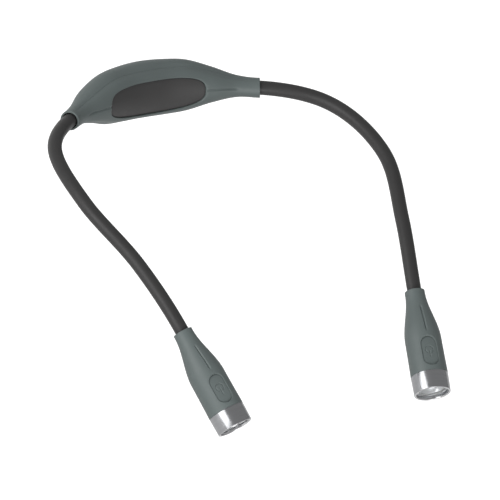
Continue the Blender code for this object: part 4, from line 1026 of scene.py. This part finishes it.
def build_shell(label, head):
    """Rubber shell: rays run over it from the button's slot to the sleeve end and the bezel end."""
    flank = (SHELL_SIDE_RAYS, 0.0)
    rays = quarter_rays((SHELL_END_RAYS, 0.0), flank, (SHELL_END_RAYS, RAY_CROWDING), flank)

    def slot(out, inset):
        """Places and angles of the rays on the button's slot, widened by out."""
        wider = 2 * (BUTTON_GAP + out)
        marks = []
        for side, u in rays:
            along, across = stadium_ray(side, u, BUTTON_LENGTH + wider, BUTTON_WIDTH + wider)
            along += BUTTON_CENTRE
            marks.append((along, math.asin(across / (head_radius(along) - inset))))
        return marks

    def border(share):
        """Places and angles of the rays on the shell's far border, pulled in by a share of its edges."""
        back, front = share * SOFT_EDGE, SHELL_LENGTH - share * SEAM_EDGE
        met = [on_square(side, u) for side, u in rays]
        return [(mix(back, front, (along + 1) / 2), around * math.pi) for along, around in met]

    def bore_point(along, angle):
        return on_round(shell_bore(along), angle, along)

    skin = Skin()
    rings = []
    for out, inset in reversed(round_over(SLOT_EDGE, SLOT_STEPS)):
        marks = slot(out, inset)
        rings.append([shell_point(along, angle, inset) for along, angle in marks])
    rows = skin.rows(rings + rings_between(marks, border(1.0), even_steps(SHELL_RINGS), shell_point))
    inner_marks = []
    for along, angle in slot(0.0, SLOT_EDGE):
        across = math.sin(angle) * (head_radius(along) - SLOT_EDGE)
        inner_marks.append((along, math.asin(across / shell_bore(along))))
    inner_steps = [0.0] + even_steps(INNER_ROWS)
    inner_rows = skin.rows(rings_between(inner_marks, border(0.0), inner_steps, bore_point))
    skin.span(rows[0], inner_rows[0])
    end_rings(skin, rows[-1], inner_rows[-1], rays)
    shell = skin.piece(label + "_shell_skin", head, RUBBER)
    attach(shell, label + "_head")
    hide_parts(label + "_head_shell")


def end_rings(skin, outer, inner, rays):
    """Round over the shell's two open ends, from its outer skin to its bore."""
    for end, face, edge in ((0, SHELL_LENGTH, SEAM_EDGE), (2, 0.0, SOFT_EDGE)):
        picked = [i for i, (side, _) in enumerate(rays) if side == end]
        picked.append((picked[-1] + 1) % len(rays))
        previous = [outer[i] for i in picked]
        for pull, drop in round_over(edge, EDGE_STEPS)[1:]:
            along = face - pull if face else pull
            ring = []
            for i in picked:
                wide = Vector((outer[i].co.x, outer[i].co.y, 0))
                ring.append(wide.normalized() * (wide.length - drop) + Vector((0, 0, along)))
            ring = skin.row(ring)
            skin.span(previous, ring, closed=False)
            previous = ring
        skin.span(previous, [inner[i] for i in picked], closed=False)


def power_dip(along, across):
    """Depth of the pressed-in power symbol: an open ring, and a bar that runs out through its opening."""
    along -= SYMBOL_CENTRE
    across = abs(across)
    ring = SYMBOL_DIAMETER / 2
    if math.atan2(across, along) > SYMBOL_OPENING:
        from_ring = abs(math.hypot(along, across) - ring)
    else:
        tip_along, tip_across = ring * math.cos(SYMBOL_OPENING), ring * math.sin(SYMBOL_OPENING)
        from_ring = math.hypot(along - tip_along, across - tip_across)
    low, high = SYMBOL_BAR
    from_bar = math.hypot(across, max(low - along, 0.0, along - high))
    nearest = min(from_ring, from_bar) - SYMBOL_STROKE / 2
    return SYMBOL_DEPTH * (1 - smooth((nearest + SYMBOL_SOFTNESS) / (2 * SYMBOL_SOFTNESS)))


def build_button(label, head):
    """Oblong cap whose top follows the round head, with the power symbol pressed into its middle."""
    rays = quarter_rays(*[(BUTTON_SIDE_RAYS, 0.0)] * 4)

    def top(along, across, drop=0.0):
        radius = head_radius(BUTTON_CENTRE + along) - BUTTON_RECESS
        rim = math.sqrt(radius * radius - BUTTON_WIDTH * BUTTON_WIDTH / 4)
        height = mix(rim, math.sqrt(radius * radius - across * across), BUTTON_ROUNDNESS) - drop
        return Vector((height, across, BUTTON_CENTRE + along))

    def outline(pull):
        return [stadium_ray(side, u, BUTTON_LENGTH - 2 * pull, BUTTON_WIDTH - 2 * pull) for side, u in rays]

    patch = []
    for along, across in outline(SEAM_EDGE):
        angle = math.atan2(across / SYMBOL_PATCH[1], along / SYMBOL_PATCH[0])
        patch.append((SYMBOL_PATCH[0] * math.cos(angle), SYMBOL_PATCH[1] * math.sin(angle)))
    rings = [[Vector((BUTTON_BOTTOM, across, BUTTON_CENTRE + along)) for along, across in outline(0.0)]]
    for pull, drop in reversed(round_over(SEAM_EDGE, EDGE_STEPS)):
        rings.append([top(along, across, drop) for along, across in outline(pull)])
    rings += rings_between(outline(SEAM_EDGE), patch, even_steps(BUTTON_RINGS), top)
    for k in range(1, PATCH_RINGS):
        share = 1 - k / PATCH_RINGS
        rings.append([top(x * share, y * share, power_dip(x * share, y * share)) for x, y in patch])
    skin = Skin()
    rows = skin.rows(rings)
    skin.fan(rows[0], Vector((BUTTON_BOTTOM, 0, BUTTON_CENTRE)))
    skin.fan(rows[-1], top(0.0, 0.0, power_dip(0.0, 0.0)))
    button = skin.piece(label + "_button_cap", head, RUBBER, merge=False)
    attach(button, label + "_button")
    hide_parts(label + "_button")


def build_bezel(label, head):
    """Turned bezel with softened rims, and the lens and seal in it."""
    start = SHELL_LENGTH + 2 * SEAM_GAP
    rear = BEZEL_REAR_DIAMETER / 2
    front = BEZEL_MOUTH_DIAMETER / 2
    lip_bore = front - LIP_WIDTH
    pocket = LENS_RADIUS + FIT_GAP
    skirt_bore = SKIRT_RADIUS - BEZEL_SKIRT_WALL
    skirt_end = SHELL_LENGTH - BEZEL_SKIRT_LENGTH
    shoulder = start + BEZEL_SHOULDER
    lip_foot = HEAD_LENGTH - LIP_HEIGHT
    corners = [(SKIRT_RADIUS, start), (rear, start), (front, HEAD_LENGTH),
               (lip_bore + LIP_FLARE, HEAD_LENGTH), (lip_bore, lip_foot), (pocket, lip_foot),
               (pocket, shoulder), (skirt_bore, shoulder), (skirt_bore, skirt_end),
               (SKIRT_RADIUS, skirt_end)]
    edge = SEAM_EDGE
    radii = [0, edge, 2 * edge, SOFT_EDGE, edge, 0, 0, 0, edge, edge]
    bezel = turned(label + "_bezel_ring", filleted(corners, radii), head, ALUMINIUM)
    bezel.data.materials.append(BRIGHT_BORE)
    to_head = head.inverted()
    for face in bezel.data.polygons:
        middle = to_head @ face.center
        if math.hypot(middle.x, middle.y) < front - SOFT_EDGE and middle.z > shoulder - edge:
            face.material_index = 1
    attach(bezel, label + "_head")
    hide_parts(label + "_bezel")

    low = LENS_TOP - LENS_THICKNESS
    snug = LENS_RADIUS + SQUEEZE
    corners = [(0, low), (snug, low), (snug, LENS_TOP + SQUEEZE), (0, LENS_TOP + SQUEEZE)]
    lens = turned(label + "_lens_disc", filleted(corners, [0, edge, edge, 0]), head, CLEAR_LENS, closed=False)
    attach(lens, label + "_head")
    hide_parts(label + "_lens")

    top = low - FIT_GAP + SQUEEZE
    bottom = FLANGE_TOP + FIT_GAP - SQUEEZE
    bore = LENS_RADIUS - SEAL_WIDTH - FIT_GAP
    corners = [(bore, bottom), (snug, bottom), (snug, top), (bore, top)]
    seal = turned(label + "_seal_ring", filleted(corners, [edge] * 4), head, SEAL_RUBBER)
    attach(seal, label + "_head")
    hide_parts(label + "_lens_seal")


def build_light(label, head):
    """Smooth reflector bowl and the LED at its foot."""
    low = LED_LOW + LED_BASE_HEIGHT + FIT_GAP
    throat = REFLECTOR_THROAT_DIAMETER / 2
    wide = LENS_RADIUS - SEAL_WIDTH - FIT_GAP
    bowl = []
    for i in range(REFLECTOR_STEPS + 1):
        share = (i / REFLECTOR_STEPS) ** REFLECTOR_STEP_POWER
        bowl.append((mix(throat, wide, share ** REFLECTOR_FULLNESS), mix(low, FLANGE_TOP, share)))
    flange_low = FLANGE_TOP - REFLECTOR_FLANGE
    outline = bowl + [(LENS_RADIUS + SQUEEZE, FLANGE_TOP), (LENS_RADIUS + SQUEEZE, flange_low)]
    outline += [(radius + REFLECTOR_WALL, along) for radius, along in reversed(bowl) if along < flange_low]
    reflector = turned(label + "_reflector_bowl", outline, head, MIRROR)
    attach(reflector, label + "_head")
    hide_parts(label + "_reflector")

    dome = LED_DOME_DIAMETER / 2
    top = LED_LOW + LED_BASE_HEIGHT
    outline = [(0, LED_LOW), (LED_WIDTH / 2, LED_LOW), (LED_WIDTH / 2, top), (dome, top)]
    turns = [math.pi / 2 * share for share in even_steps(LED_DOME_STEPS)[:-1]]
    outline += [(dome * math.cos(turn), top + dome * math.sin(turn)) for turn in turns]
    outline.append((0, top + dome))
    light = turned(label + "_led_chip", outline, head, PHOSPHOR, sides=LED_SIDES, closed=False)
    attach(light, label + "_head")
    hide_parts(label + "_led")


def build_head(side, label):
    head = WORN @ axes_at(mirrored(HEAD_START, side), mirrored(HEAD_WAY, side), BUTTON_AIM)
    build_shell(label, head)
    build_button(label, head)
    build_bezel(label, head)
    build_light(label, head)


# CAD nodes that keep their own shapes


def finish_nodes():
    """Give the inner nodes their materials: those there once, and those on the left and on the right."""
    finishes = ((BLACK_PLASTIC, ("battery_tray",), ("inner_barrel", "push_switch")),
                (CELL_WRAP, ("battery_cell_1", "battery_cell_2"), ()),
                (STEEL, ("contact_bridge", "contact_plate_1", "contact_plate_2", "contact_spring_1",
                         "contact_spring_2"), ("case_screw", "housing_collar", "head_collar")),
                (CIRCUIT, ("driver_board",), ("switch_board", "led_board")))
    for finish, single, paired in finishes:
        for name in [*single, *(f"{label}_{part}" for _, label in SIDES for part in paired)]:
            materials = frame["nodes"][name].data.materials
            materials.clear()
            materials.append(finish)


# Stage


def add_camera():
    """Camera on the photograph's line of sight; returns the point in the middle of its picture."""
    sight = direction(VIEW_AZIMUTH, VIEW_ELEVATION)
    turn = WORN.to_3x3() @ axes_at(Vector(), sight, direction(VIEW_AZIMUTH + math.pi / 2, 0)).to_3x3()
    right, up, toward = turn.col
    across, down = ((IMAGE_SIZE / 2 - pixel) / PIXELS_PER_METRE for pixel in ORIGIN_PIXEL)
    target = WORN.translation + right * across - up * down
    data = bpy.data.cameras.new("photo_camera")
    data.type = "ORTHO"
    data.ortho_scale = IMAGE_SIZE / PIXELS_PER_METRE
    data.clip_end = 10 * CAMERA_DISTANCE
    camera = new_object("photo_camera", data)
    camera.matrix_world = Matrix.Translation(target + toward * CAMERA_DISTANCE) @ turn.to_4x4()
    bpy.context.scene.camera = camera
    return target


def add_softbox(target, name, offset, size, power, reflected):
    """Area light that faces the target, set off from it in the frame's own axes."""
    place = target + Vector(offset)
    data = bpy.data.lights.new(name, "AREA")
    data.shape = "RECTANGLE"
    data.size, data.size_y = size
    data.energy = power
    light = new_object(name, data)
    light.matrix_world = axes_at(place, place - target, Vector((0, 1, 0)))
    light.visible_glossy = reflected


def add_floor():
    """Pale floor, low enough for the heads to stay above it when the arms bend down."""
    shape = bmesh.new()
    bmesh.ops.create_grid(shape, x_segments=1, y_segments=1, size=FLOOR_SIZE / 2)
    mesh = bpy.data.meshes.new("studio_floor")
    shape.to_mesh(mesh)
    shape.free()
    made, tree, shader = blank_finish("pale_floor", Base_Color=FLOOR_GREY, Roughness=0.9,
                                      Specular_IOR_Level=0.0, Emission_Strength=FLOOR_GLOW)
    seen = add_node(tree, "ShaderNodeLightPath").outputs["Is Camera Ray"]
    glow = add_node(tree, "ShaderNodeMixRGB", {"Fac": seen, "Color1": FLOOR_GREY, "Color2": WHITE})
    tree.links.new(glow.outputs["Color"], shader.inputs["Emission Color"])
    mesh.materials.append(made)
    floor = new_object("studio_floor", mesh)
    floor.location.z = -FLOOR_DROP
    floor.visible_diffuse = False


def add_sky():
    """Even studio surround, brighter above the horizon than below it."""
    world = bpy.data.worlds.new("studio_sky")
    world.use_nodes = True
    tree = world.node_tree
    sky = tree.nodes["Background"]
    sky.inputs["Color"].default_value = WHITE
    way = add_node(tree, "ShaderNodeTexCoord")
    split = add_node(tree, "ShaderNodeSeparateXYZ", {"Vector": way.outputs["Generated"]})
    horizon = add_node(tree, "ShaderNodeMapRange",
                       {"Value": split.outputs["Z"], "From Min": -HORIZON_BLUR, "From Max": HORIZON_BLUR,
                        "To Min": SKY_BELOW, "To Max": SKY_ABOVE})
    tree.links.new(horizon.outputs["Result"], sky.inputs["Strength"])
    bpy.context.scene.world = world


build_rear_cover()
build_neck_cover()
build_door()
for side, label in SIDES:
    build_arm(side, label)
    build_head(side, label)
finish_nodes()
add_floor()
add_sky()
target = add_camera()
for softbox in SOFTBOXES:
    add_softbox(target, *softbox)
bpy.context.scene.view_settings.view_transform = "Standard"
